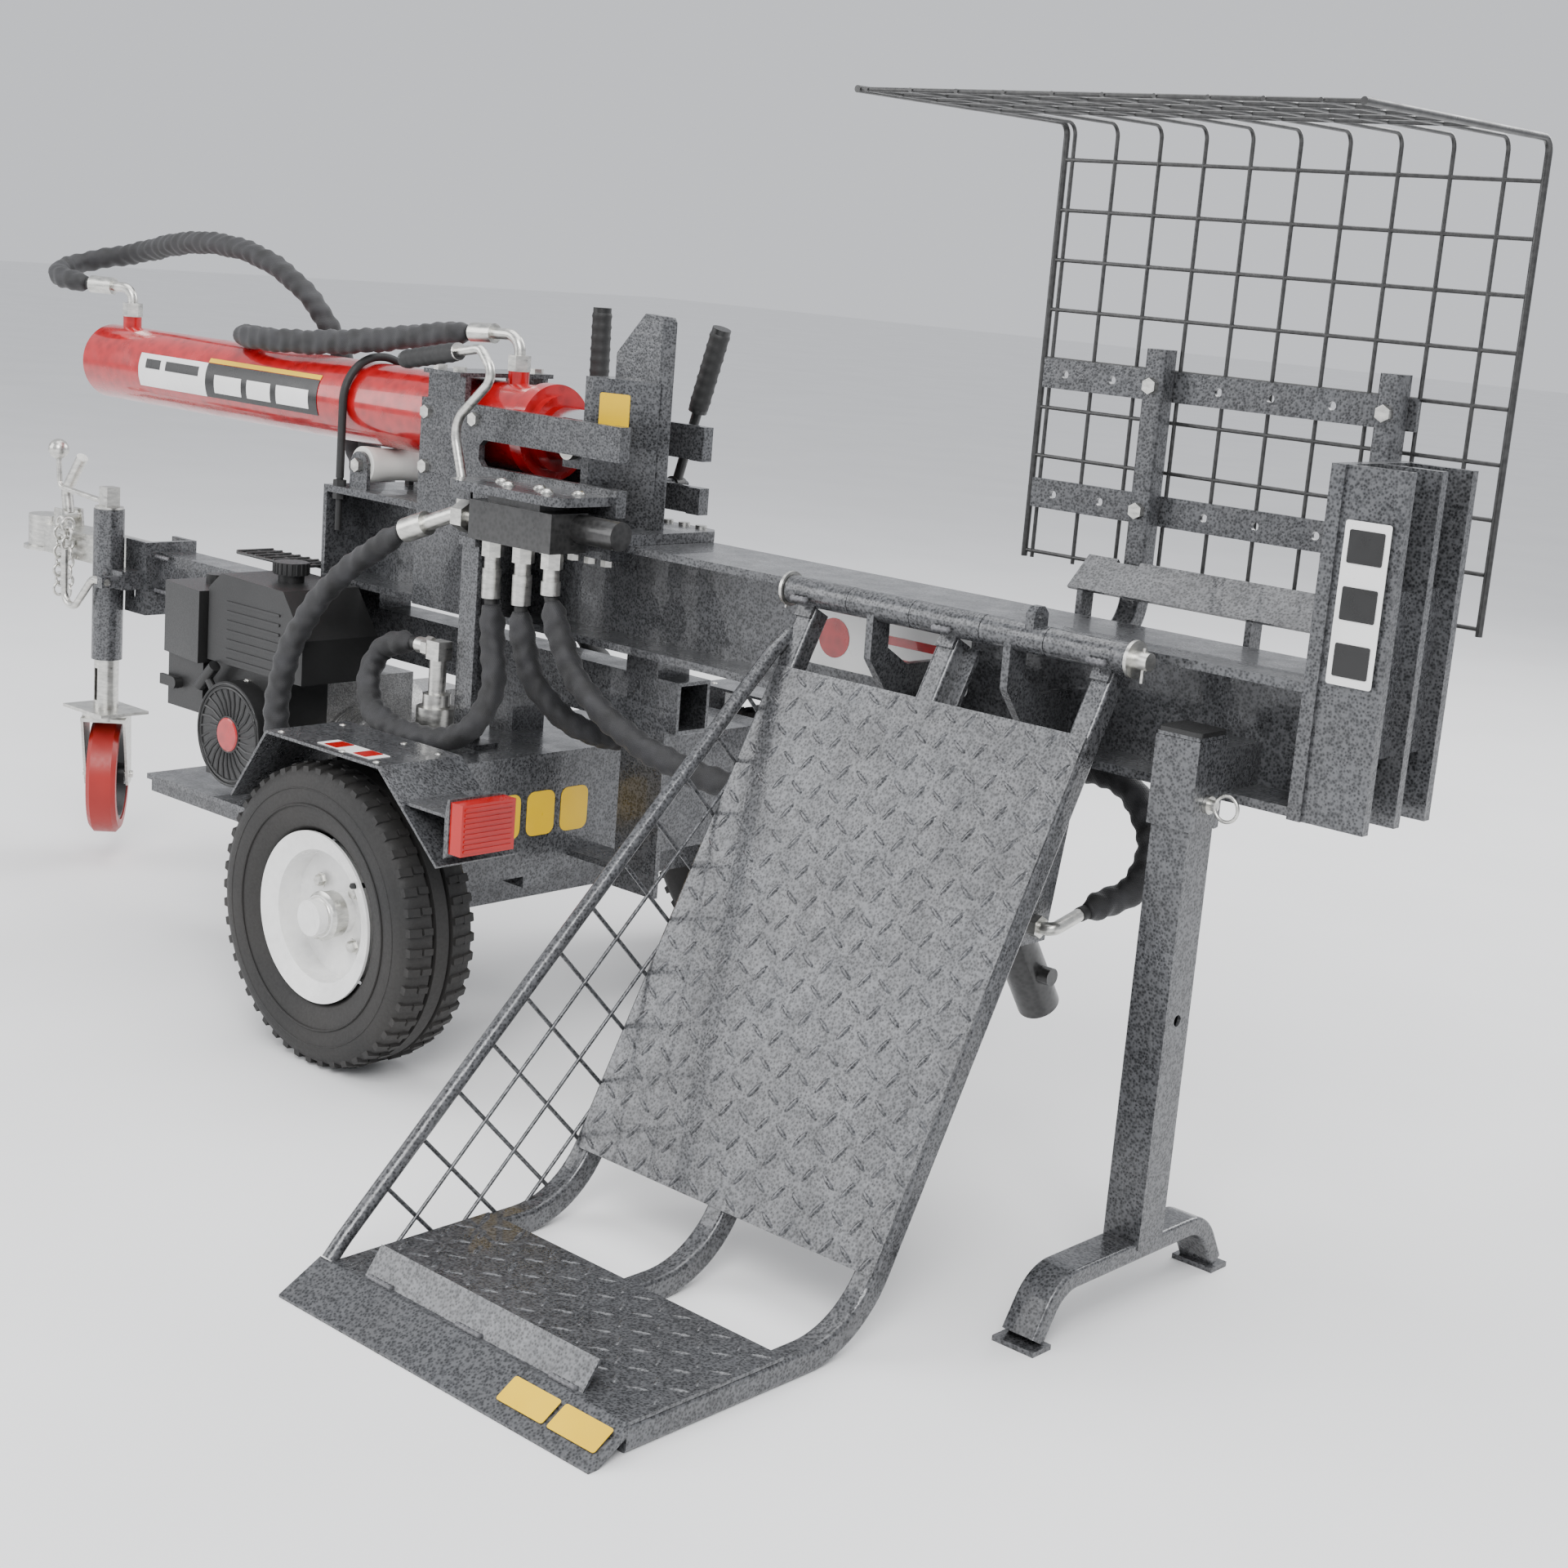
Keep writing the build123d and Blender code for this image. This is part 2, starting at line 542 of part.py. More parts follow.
def guard_frame():
    """Two posts, two drilled flat bars that hold the mesh, and the sloped shelf beside the beam."""
    pieces = []
    for z in (838, 985):
        bar = block(-553, -45, GUARD_BAR_Y, GUARD_BAR_Y + 6, z - 18, z + 18)
        for x in (-520, -450, -300, -230, -150):
            bar -= rod((x, GUARD_BAR_Y - 1, z), (x, GUARD_BAR_Y + 7, z), 5)
        pieces.append(bar)
    for x in POST_XS:
        path = [(x, GUARD_BAR_Y - 14.02, 1028), (x, GUARD_BAR_Y - 14.02, 705), (x, WEB / 2 + 8, 612)]
        pieces.append(bent_square(path, 60, 28, 28))
    shelf = slab_x([(102, 741), (106, 738), (146, 774), (142, 778)], -433, -6)
    for x in POST_XS:
        shelf -= block(x - 16, x + 16, 138, 150, 730, 790)
    for x in (-415, -180):
        shelf += slab_x([(WEB / 2 + 0.02, 598), (WEB / 2 + 0.02, 640), (70, 650), (104, 672), (104, 739),
                         (128, 758), (128, 700), (104, 640), (60, 598)], x - 4, x + 4)
    pieces.append(shelf)
    return pieces


def guard_bolts():
    """Hexagon bolts through the posts and the flat bars."""
    pieces = []
    for x in POST_XS:
        for z in (838, 985):
            pieces.append(hexagon((x, GUARD_BAR_Y - 36, z), (x, GUARD_BAR_Y - 28.04, z), 17))
    return pieces


# ---- Chassis -------------------------------------------------------------------------------------
def oil_tank():
    """Hydraulic oil tank: a welded steel box across the axle, with a foot below it."""
    y0, y1 = AXLE_MID - TANK_HALF, AXLE_MID + TANK_HALF
    wall = 4
    tank = block(TANK_X0, TANK_X1, y0, y1, TANK_Z0, TANK_Z1)
    tank -= block(TANK_X0 + wall, TANK_X1 - wall, y0 + wall, y1 - wall, TANK_Z0 + wall, TANK_Z1 - wall)
    tank += block(TANK_X1 - 60, TANK_X1, -112, -62, TANK_Z0 - 16, TANK_Z0)
    return tank


def tank_fittings():
    """Filler neck, spin-on filter and the return elbow above it."""
    neck = rod((-1235, 250, TANK_Z1 + 0.02), (-1235, 250, TANK_Z1 + 20), 20)
    filter_x, filter_y = -1262, -170
    canister = rod((filter_x, filter_y, TANK_Z1 + 0.02), (filter_x, filter_y, TANK_Z1 + 48), 27)
    canister += rod((filter_x, filter_y, TANK_Z1 + 48), (filter_x, filter_y, TANK_Z1 + 66), 19)
    canister += rod((filter_x, filter_y, TANK_Z1 + 66), (filter_x, filter_y, RETURN_Z - 8), 12)
    canister += block(filter_x - 12, filter_x + 14, filter_y - 12, filter_y + 12, RETURN_Z - 14, RETURN_Z + 12)
    canister += hexagon((filter_x - 12, filter_y, RETURN_Z), (filter_x - 24, filter_y, RETURN_Z), 26)
    canister += rod((filter_x - 24, filter_y, RETURN_Z), RETURN_END, 11)
    return [neck, canister]


def chassis():
    """Axle through the wheels, engine rails, engine plate and the post at the tongue's free end."""
    axle = block(WHEEL_X - 20, WHEEL_X + 20, WHEEL_YS[0] + 74, WHEEL_YS[1] - 74, TYRE_R - 20, TANK_Z0 - 0.02)
    for y in WHEEL_YS:
        side = 1 if y > 0 else -1
        axle += rod((WHEEL_X, y - side * 74, TYRE_R), (WHEEL_X, y + side * 42, TYRE_R), SPINDLE_R)
    pieces = [axle, block(-1860, -1500, -232, 140, ENGINE_BASE - 8, ENGINE_BASE)]
    for y in (-190, 90):
        pieces.append(block(-1880, TANK_X0 - 0.02, y - 20, y + 20, ENGINE_BASE - 34, ENGINE_BASE - 8.02))
    return pieces


def wheel_rim(y):
    """Steel rim with its disc, hub tube and hub cap; the disc's dish faces away from the beam."""
    s = 1 if y > 0 else -1
    profile = [(SPINDLE_R + FIT, -46 * s), (24, -46 * s), (24, -6 * s), (84, -2 * s), (89, -42 * s),
               (RIM_R, -53 * s), (RIM_R, -49 * s), (94, -40 * s), (94, 40 * s), (RIM_R, 49 * s),
               (RIM_R, 53 * s), (89, 43 * s), (86, 10 * s), (28, 4 * s), (28, 44 * s),
               (SPINDLE_R + FIT, 44 * s)]
    rim = ring_y((WHEEL_X, y, TYRE_R), profile)
    cap = rod((WHEEL_X, y + 44.05 * s, TYRE_R), (WHEEL_X, y + 60 * s, TYRE_R), 24)
    return [rim, cap]


def tyre(y):
    """Pneumatic tyre with its beads against the rim's flanges."""
    half = [(94.3, 39.5), (115.4, 48.3), (120, 55), (150, TYRE_HALF), (176, 58), (194, 50), (202, 38),
            (TYRE_R, 20)]
    profile = half + [(r, -w) for r, w in reversed(half)]
    quarter = [(100, 34), (150, 50), (188, 42), (193, 20)]
    hollow = quarter + [(r, -w) for r, w in reversed(quarter)]
    centre = (WHEEL_X, y, TYRE_R)
    return ring_y(centre, profile) - ring_y(centre, hollow)


def fender(y):
    """Sheet fender folded over the tyre, its arm from the tank and its tail light bracket."""
    s = 1 if y > 0 else -1
    top, low = 437, 335
    y0, y1 = sorted((y + s * 62, y - s * 72))
    outline = [(-1402, low), (-1400, low - 3), (-1326, top - 4), (-1092, top - 4), (-972, low - 3),
               (-970, low), (-1090, top), (-1328, top)]
    sheet = slab_y(outline, y0, y1)
    tank_side = AXLE_MID + s * (TANK_HALF + 0.02)
    inner = y - s * 72
    sheet += block(-1310, -1270, *sorted((tank_side, inner + s * 6)), TANK_Z1 - 20, TANK_Z1 - 14)
    sheet += block(-1310, -1270, *sorted((inner, inner + s * 6)), TANK_Z1 - 14, top - 2)
    lamp_plate = slab_y([(-1046, 401), (-966, 401), (-962, 421), (-958, 421), (-958, 350), (-966, 345),
                         (-966, 397), (-1046, 397)], *sorted((y + s * 56, y - s * 34)))
    return sheet + lamp_plate


def tail_lights():
    """Lamp housings on the fenders' brackets."""
    lights = []
    for y in WHEEL_YS:
        s = 1 if y > 0 else -1
        lights.append(block(-957.98, -936, *sorted((y + s * 54, y - s * 32)), 353, 418))
    return lights


def tongue():
    """Towing tube under the beam with its saddles, its posts on the tank and its plates at both ends."""
    wall = 5
    tube = block(TONGUE_LEFT, TONGUE_RIGHT, -TONGUE_HALF, TONGUE_HALF, TONGUE_Z0, TONGUE_Z1)
    tube -= block(TONGUE_LEFT - 1, TONGUE_RIGHT + 1, -TONGUE_HALF + wall, TONGUE_HALF - wall,
                  TONGUE_Z0 + wall, TONGUE_Z1 - wall)
    for x in (-1600, -1010):
        tube += block(x - 30, x + 30, -TONGUE_HALF, TONGUE_HALF, TONGUE_Z1, BEAM_TOP - BEAM_HEIGHT - 0.02)
    tube += block(-1310, -1262, -TONGUE_HALF, TONGUE_HALF, TANK_Z1 + 0.02, TONGUE_Z0)
    tube += block(-1040, -960, -TONGUE_HALF, -TONGUE_HALF + 8, 240, TONGUE_Z0)
    tube += block(-1040, -1032, -TONGUE_HALF, TONGUE_HALF, 240, TONGUE_Z0)
    tube += block(TANK_X1 + 0.02, -1032, -TONGUE_HALF, TONGUE_HALF, 262, 270)
    plate = block(TONGUE_LEFT - 10, TONGUE_LEFT, -52, 44, 436, 556)
    plate += block(TONGUE_LEFT - 60, TONGUE_LEFT - 9, -52, -44, 436, 556)
    plate -= block(TONGUE_LEFT - 44, TONGUE_LEFT - 30, -53, -43, 462, 500)
    plate += block(TONGUE_LEFT - 60, TONGUE_LEFT - 9, 36, 44, 436, 556)
    return tube + plate


def coupler():
    """Ball coupler: a channel between the tongue's cheeks and the socket at its head."""
    left, right = -2500, TONGUE_LEFT - 12
    body = block(left, right, -30, 30, 492, 540)
    body -= block(left + 4, right + 1, -26, 26, 491, 536)
    body += rod((-2530, 0, 494), (-2530, 0, 552), 36)
    body += rod((-2530, 0, 492), (-2530, 0, 498), 44)
    body -= Pos(-2530, 0, 500) * Sphere(25.4)
    body -= rod((-2530, 0, 490), (-2530, 0, 500), 25.4)
    for x in (TONGUE_LEFT - 24, TONGUE_LEFT - 52):
        body += rod((x, -35.9, 516), (x, 35.9, 516), 7)
    return body


def coupler_latch():
    """Latch handle hinged on top of the coupler."""
    handle = bent_rod([(-2470, 0, 562), (-2478, 0, 600), (-2430, 0, 662)], 24, 10)
    return handle + rod((-2470, -16, 558), (-2470, 16, 558), 9)


def safety_chains():
    """Two gathered safety chains that hang beside the coupler."""
    pieces = []
    for strand, (x, y) in enumerate(((-2400, -44), (-2424, -44), (-2400, 44))):
        for k in range(8):
            turn = 0 if (k + strand) % 2 else 90
            pieces.append(Pos(x, y, 552 - k * 16.2) * Rot(0, 0, turn) * Rot(90, 0, 0) * Torus(11, 2.6))
    return pieces


def jockey_tube():
    """Outer tube of the jockey wheel with its bracket on the tongue's cheek."""
    tube = pipe((JOCKEY_X, JOCKEY_Y, 355), (JOCKEY_X, JOCKEY_Y, 604), 25, 20)
    arm = block(JOCKEY_X + 14, TONGUE_LEFT - 10, JOCKEY_Y - 10, -52.02, 478, 508)
    arm -= rod((JOCKEY_X, JOCKEY_Y, 470), (JOCKEY_X, JOCKEY_Y, 520), 22)
    return tube + arm


def caster_stem():
    """Plated inner tube with its slot and top cap, and the swivel's fixed plate."""
    stem = pipe((JOCKEY_X, JOCKEY_Y, CASTER_PLATE), (JOCKEY_X, JOCKEY_Y, 520), 19.95, 16)
    stem += block(JOCKEY_X - 58, JOCKEY_X + 58, JOCKEY_Y - 45, JOCKEY_Y + 45, CASTER_PLATE - 5, CASTER_PLATE)
    stem -= block(JOCKEY_X - 4, JOCKEY_X + 4, JOCKEY_Y - 24, JOCKEY_Y - 14, CASTER_PLATE + 14, 340)
    return stem


def jockey_crank():
    """Winding head on top of the jockey wheel with its cranked arm and ball knob."""
    head = block(JOCKEY_X - 12, JOCKEY_X + 12, JOCKEY_Y - 12, JOCKEY_Y + 12, 604.3, 640)
    head += rod((JOCKEY_X, JOCKEY_Y, 604.3), (JOCKEY_X, JOCKEY_Y, 608), 23)
    arm = bent_rod([(JOCKEY_X, JOCKEY_Y, 620), (JOCKEY_X - 30, JOCKEY_Y, 608.5 + 6),
                    (JOCKEY_X - 150, JOCKEY_Y, 622), (JOCKEY_X - 156, JOCKEY_Y, 676)], [9, 11], 4.5)
    return head + arm + Pos(JOCKEY_X - 156, JOCKEY_Y, 684) * Sphere(17)


def clamp_handle():
    """Cranked clamp screw of the jockey wheel with its spring."""
    y = JOCKEY_Y - 42
    bar = bent_rod([(JOCKEY_X + 62, y, 493), (JOCKEY_X + 20, y, 493), (JOCKEY_X - 30, y, 440),
                    (JOCKEY_X - 62, y, 440), (JOCKEY_X - 64, y, 530)], [20, 20, 20], 6)
    return bar


def caster_fork():
    """Swivel fork under the plate, trailing its axle."""
    top = CASTER_PLATE - 5.3
    axle_z = CASTER_R + JOCKEY_LIFT
    fork = rod((0, 0, top - 12), (0, 0, top), 38)
    fork += block(-36, 40, -36, 36, top - 14, top - 8)
    for side in (-1, 1):
        leg = slab_y([(-34, top - 8), (44, top - 8), (CASTER_TRAIL + 20, axle_z - 16),
                      (CASTER_TRAIL - 20, axle_z - 16)], *sorted((side * 32, side * 36)))
        fork += leg
    fork += rod((CASTER_TRAIL, -41, axle_z), (CASTER_TRAIL, 41, axle_z), 6)
    return caster_place() * fork


def caster_wheel():
    """Iron wheel centre on its axle."""
    profile = [(6.05, -28), (18, -28), (18, -8), (66, -8), (72, -22), (78, -22), (78, 22), (72, 22), (66, 8),
               (18, 8), (18, 28), (6.05, 28)]
    return caster_place() * ring_y((CASTER_TRAIL, 0, CASTER_R + JOCKEY_LIFT), profile)


def caster_tread():
    """Moulded tread around the wheel centre."""
    profile = [(78.02, -24), (92, -24), (CASTER_R, -17), (CASTER_R, 17), (92, 24), (78.02, 24)]
    return caster_place() * ring_y((CASTER_TRAIL, 0, CASTER_R + JOCKEY_LIFT), profile)


# ---- Engine and pump -----------------------------------------------------------------------------
def engine_block():
    """Crankcase with its finned cylinder at the side."""
    x, y = ENGINE_X, ENGINE_Y
    case = block(x - 90, x + 92, y - 70, y + 95, ENGINE_BASE + 0.02, ENGINE_BASE + 190)
    for k in range(7):
        z = ENGINE_BASE + 36 + k * 18
        case += block(x - 150, x - 90, y - 50, y + 80, z, z + 7)
    case += block(x - 138, x - 90, y - 36, y + 66, ENGINE_BASE + 30, ENGINE_BASE + 156)
    case += rod((x + 88, y - 10, CRANK_Z - 8), (x + 150, y - 10, CRANK_Z - 8), 50)
    case -= rod((x, y - 80, CRANK_Z), (x, y + 100, CRANK_Z), 14.05)
    return case


def engine_shroud():
    """Blower housing with the round recoil starter."""
    x, y = ENGINE_X, ENGINE_Y
    cowl = block(x - 100, x + 100, y - 138, y - 70.02, ENGINE_BASE + 20, ENGINE_BASE + 196)
    cowl += rod((x, y - 170, CRANK_Z), (x, y - 138, CRANK_Z), 78)
    cowl -= rod((x, y - 128, CRANK_Z), (x, y - 60, CRANK_Z), 60)
    cowl -= rod((x + 84, y - 130, CRANK_Z - 8), (x + 105, y - 130, CRANK_Z - 8), 1)
    return cowl


def crankshaft():
    """Crankshaft with its flywheel, joined to the pump shaft by a coupling."""
    x, y = ENGINE_X, ENGINE_Y
    shaft = rod((x, y - 108, CRANK_Z), (x, y + 140, CRANK_Z), 14)
    shaft += rod((x, y - 122, CRANK_Z), (x, y - 92, CRANK_Z), 54)
    shaft += rod((x, y + 112, CRANK_Z), (x, y + 148, CRANK_Z), 24)
    return shaft


def pull_handle():
    """Grip of the recoil starter, seated on top of the shroud's round part."""
    x, y = ENGINE_X - 57, ENGINE_Y - 159
    z = CRANK_Z + 57
    grip = rod((x - 34, y, z - 1), (x + 2, y, z + 35), 9)
    return grip + rod((x, y, z), (x - 14, y, z + 14), 6)


def engine_tank():
    """Fuel tank over the engine with its filler neck."""
    x, y = ENGINE_X, ENGINE_Y
    outline = [(x - 80, ENGINE_BASE + 198), (x + 150, ENGINE_BASE + 198), (x + 150, ENGINE_BASE + 262),
               (x + 100, ENGINE_BASE + 326), (x - 50, ENGINE_BASE + 330), (x - 80, ENGINE_BASE + 306)]
    return slab_y(outline, y - 155, y - 22) + rod((x + 30, y - 90, ENGINE_BASE + 310),
                                                  (x + 30, y - 90, ENGINE_BASE + 338), 19)


def fuel_cap():
    """Cap on the fuel tank's neck."""
    x, y = ENGINE_X + 30, ENGINE_Y - 90
    return rod((x, y, ENGINE_BASE + 338.04), (x, y, ENGINE_BASE + 356), 25)


def air_filter():
    """Air cleaner box with its knob, and the control panel under it."""
    x, y = ENGINE_X - 200, ENGINE_Y
    outline = [(x, y - 150), (x + 110, y - 165), (x + 116, y - 60), (x + 90, y - 30), (x, y - 30)]
    box = slab_z(outline, ENGINE_BASE + 190.04, ENGINE_BASE + 298)
    box += rod((x + 52, y - 96, ENGINE_BASE + 298), (x + 52, y - 96, ENGINE_BASE + 312), 15)
    box += block(x + 10, x + 99.9, y - 148, y - 72, ENGINE_BASE + 110, ENGINE_BASE + 190.04)
    return box


def muffler():
    """Silencer behind the air cleaner with its wire guard."""
    x, y = ENGINE_X, ENGINE_Y
    can = block(x - 170, x - 90, y - 28, y + 24, ENGINE_BASE + 206, ENGINE_BASE + 290)
    top = ENGINE_BASE + 340
    guard = rod((x - 130, y - 4, ENGINE_BASE + 290.02), (x - 130, y - 4, top), 3)
    for k in range(8):
        px = x - 176 + k * 23
        guard += rod((px, y - 40, top), (px, y + 26, top), 2.5)
    for dy in (-38, -4, 24):
        guard += rod((x - 178, y + dy, top - 2), (x - 12, y + dy, top - 2), 2.5)
    return [can, guard]


def hydraulic_pump():
    """Bell housing on the engine's output side and the gear pump behind it, with its outlet."""
    x, y = ENGINE_X, ENGINE_Y
    bell = pipe((x, y + 95.02, CRANK_Z), (x, y + 155, CRANK_Z), 62, 50)
    pump = block(x - 45, x + 45, y + 155.02, y + 240, CRANK_Z - 45, CRANK_Z + 45)
    pump += rod((x, y + 240, CRANK_Z), (x, y + 262, CRANK_Z), 34)
    pump += rod((x + 45, y + 200, CRANK_Z), PUMP_END, 11)
    return [bell, pump]


# ---- Control valve and levers --------------------------------------------------------------------
def valve_stand():
    """Plate over the valve with rounded corners, and the post that carries it on the tank."""
    plate = block(VALVE_X0 - 44, VALVE_X1 + 20, -184, -BEAM_HALF - 11.02, VALVE_PLATE_TOP - 12, VALVE_PLATE_TOP)
    plate = fillet(plate.edges().filter_by(Axis.Z).group_by(Axis.Y)[0], 26)
    post = block(-1236, -1202, -160, -152, TANK_Z1 + 0.02, VALVE_Z0 - 12)
    post += block(-1236, -1228, -160, -118, TANK_Z1 + 0.02, VALVE_Z0 - 12)
    post += block(-1236, -1190, -160, -118, TANK_Z1 + 0.02, TANK_Z1 + 6)
    post += block(-1236, -1203, -166, -112, VALVE_Z0 - 12, VALVE_Z0 - 0.02)
    return [plate, post]


def valve_body():
    """Valve block under the plate, its ports and the spring cap at its end."""
    body = block(VALVE_X0, VALVE_X1, VALVE_Y0, VALVE_Y1, VALVE_Z0, VALVE_Z1)
    body += rod((VALVE_X1, SPOOL_Y, SPOOL_Z), (VALVE_X1 + 76, SPOOL_Y, SPOOL_Z), 19)
    body += block(VALVE_X0 + 30, VALVE_X1 - 30, VALVE_Y0 + 6, VALVE_Y1 - 6, VALVE_Z1, VALVE_PLATE_TOP - 12.02)
    body -= rod((VALVE_X0 - 1, SPOOL_Y, SPOOL_Z), (VALVE_X1 + 60, SPOOL_Y, SPOOL_Z), 8.05)
    return body


def valve_spool():
    """Spool of the control valve with its end outside the body."""
    return rod((VALVE_X0 - 34, SPOOL_Y, SPOOL_Z), (VALVE_X1 + 30, SPOOL_Y, SPOOL_Z), 8)


def control_lever():
    """Cranked lever with its grip, and its lower end beside the spool."""
    path = [(LEVER_X, LEVER_Y, LEVER_Z + 4), (LEVER_X - 28, LEVER_Y, 842), (LEVER_X + 52, LEVER_Y, 912),
            (LEVER_X + 20, LEVER_Y, 946), (LEVER_X - 136, LEVER_Y, 918)]
    lever = bent_rod(path, [40, 22, 14], LEVER_R)
    grip_from = Vector(*path[3]) + (Vector(*path[4]) - Vector(*path[3])) * 0.28
    lever += rod(grip_from, path[4], 12)
    lever += block(LEVER_X - 9, LEVER_X + 9, LEVER_Y - 4, LEVER_Y + 4, 714, LEVER_Z + 8)
    return lever - rod((LEVER_X, LEVER_Y - 9, LEVER_Z), (LEVER_X, LEVER_Y + 9, LEVER_Z), 5.05)


def far_lever(x, y, lean):
    """Far-side lever: a bar with a rubber grip and a pivot eye."""
    a = radians(lean)
    top = (x + 230 * sin(a), y, 776 + 230 * cos(a))
    grip_low = (x + 110 * sin(a), y, 776 + 110 * cos(a))
    lever = rod((x, y, 776), grip_low, 7) + rod(grip_low, top, 13)
    lever += rod((x, y - 8, 776), (x, y + 8, 776), 14)
    return lever - rod((x, y - 20, 776), (x, y + 20, 776), 6.05)


def lever_pivots():
    """Bolts of the far-side levers and the bracket and pivot of the control lever."""
    pieces = []
    for x, y, _ in FAR_LEVERS:
        pivot = rod((x, BEAM_HALF + 11.02, 776), (x, y + 12, 776), 6)
        pivot += rod((x, BEAM_HALF + 11.02, 776), (x, y - 9, 776), 11)
        pivot += hexagon((x, y + 9, 776), (x, y + 17, 776), 18)
        pieces.append(pivot)
    hanger = block(LEVER_X - 8, LEVER_X + 30, LEVER_Y - 13, LEVER_Y - 9, LEVER_Z - 8, VALVE_PLATE_TOP - 12.02)
    hanger += rod((LEVER_X, LEVER_Y - 10, LEVER_Z), (LEVER_X, LEVER_Y + 6, LEVER_Z), 5)
    pieces.append(hanger)
    return pieces


# ---- Fittings and hoses ---------------------------------------------------------------------------
def elbow(points, bend, radius, nut_r):
    """Plated hose end: a nut, a bent pipe and a crimped ferrule at its outer end."""
    body = bent_rod(points, bend, radius)
    first = Vector(*points[0])
    along = (Vector(*points[1]) - first).normalized()
    body += hexagon(first, first + along * 22, nut_r * 2)
    last = Vector(*points[-1])
    back = (last - Vector(*points[-2])).normalized()
    body += rod(last - back * 42, last, radius + 6)
    return body


def cylinder_fittings():
    """Plated elbows on the two ports of the ram, each with its hose's crimped ferrule."""
    rear = elbow([(REAR_PORT_X, 0, PORT_Z + 0.02), (REAR_PORT_X, 0, PORT_Z + 46), REAR_END], 20, 8, 14)
    front = elbow([(FRONT_PORT_X, 0, PORT_Z + 0.02), (FRONT_PORT_X, 0, PORT_Z + 50), FRONT_END], 24, 8, 14)
    return [rear, front]


def valve_fittings():
    """Three hose ends under the valve and the inlet's straight one at its end."""
    pieces = []
    for x, y, drop in VALVE_PORTS:
        piece = hexagon((x, y, VALVE_Z0 - 22), (x, y, VALVE_Z0 - 0.02), 26)
        piece += rod((x, y, VALVE_Z0 - drop), (x, y, VALVE_Z0 - 22), 11)
        piece += rod((x, y, VALVE_Z0 - drop), (x, y, VALVE_Z0 - 38), 13)
        pieces.append(piece)
    inlet = elbow([(VALVE_X0 - 17, INLET_Y, INLET_Z), (VALVE_X0 - 52, INLET_Y, INLET_Z), INLET_END], 26, 11, 19)
    inlet += rod((VALVE_X0 - 0.02, INLET_Y, INLET_Z), (VALVE_X0 - 17, INLET_Y, INLET_Z), 10)
    pieces.append(inlet)
    return pieces


def lift_fitting():
    """Elbow on the hanger that feeds the lift cylinder through its trunnion."""
    pivot = on_lift(LIFT_X, LIFT_PIVOT_AT)
    start = (LIFT_X + 42.02, pivot[1], pivot[2])
    corner = (LIFT_PORT[0], pivot[1], pivot[2])
    pipe_run = bent_rod([start, corner, LIFT_PORT], [12], 8)
    return pipe_run + hexagon(start, (start[0] + 10, start[1], start[2]), 24)


def tank_cap():
    base = TANK_Z1 + 20.04
    return rod((-1235, 250, base), (-1235, 250, base + 18), 27)


def latch_lugs():
    """Lugs on the coupler's channel at both sides of the latch."""
    pieces = []
    for side in (-1, 1):
        y0, y1 = sorted((side * 16.5, side * 21))
        pieces.append(slab_y([(-2486, 540.02), (-2454, 540.02), (-2458, 570), (-2482, 570)], y0, y1))
    return pieces


def clamp_post():
    """Stem of the clamp screw on the jockey wheel's bracket."""
    y = JOCKEY_Y - 42
    post = block(JOCKEY_X + 50, JOCKEY_X + 64, y - 10, JOCKEY_Y - 10.02, 484, 502)
    return post - rod((JOCKEY_X + 40, y, 493), (JOCKEY_X + 80, y, 493), 6.05)


def caster_place():
    """Frame of the caster: its local X trails away from the stem."""
    return Pos(JOCKEY_X, JOCKEY_Y, 0) * Rot(0, 0, CASTER_AZIMUTH)


def engine_levers():
    """Choke and throttle levers on the control panel."""
    x, y = ENGINE_X - 190, ENGINE_Y - 148
    lever = rod((x + 30, y - 14, 398), (x + 30, y - 0.1, 398), 9)
    lever += block(x - 8, x + 36, y - 10, y - 5, 390, 406)
    return lever


def table_frame():
    """Hinged log-lift frame: arms to the hinge, three bent tubes, a lip, a stop and a side rail."""
    pieces = None
    for left, right, x in ((0, 1, -648), (2, 3, -431), (4, 5, -217)):
        barrel = rod((HINGE_CUTS[left] + 0.5, HINGE_Y, HINGE_Z), (HINGE_CUTS[right] - 0.5, HINGE_Y, HINGE_Z),
                     HINGE_R)
        corner_z = TUBE / 2
        reach = (HINGE_Z - 0.46 * 20 - corner_z) / cos(radians(TABLE_LEAN))
        corner = on_table(x, reach, -20)
        path = [on_table(x, 16, -20), (x, corner[1], corner_z), (x, -786, corner_z)]
        side = 54 if x == -431 else TUBE
        tube = bent_square(path, TABLE_BEND, TUBE, TUBE)
        if side != TUBE:
            tube += slab([on_table(x - 30, 18, -34), on_table(x - 30, 110, -34), on_table(x - 30, 110, -28),
                          on_table(x - 30, 18, -28)], (60, 0, 0))
        tube += slab([on_table(x - 12, 8, -2), on_table(x - 12, 30, -2), on_table(x - 12, 30, -8),
                      on_table(x - 12, 8, -12)], (24, 0, 0))
        piece = tube + barrel
        pieces = piece if pieces is None else pieces + piece
    for along in (104, 700):
        pieces += slab([on_table(-640, along, -8), on_table(-640, along + 8, -8), on_table(-640, along + 8, -34),
                        on_table(-640, along, -34)], (415, 0, 0))
    for left, right in ((0, 1), (2, 3), (4, 5)):
        pieces -= rod((HINGE_CUTS[left], HINGE_Y, HINGE_Z), (HINGE_CUTS[right], HINGE_Y, HINGE_Z),
                      HINGE_PIN_R + FIT)
    return pieces


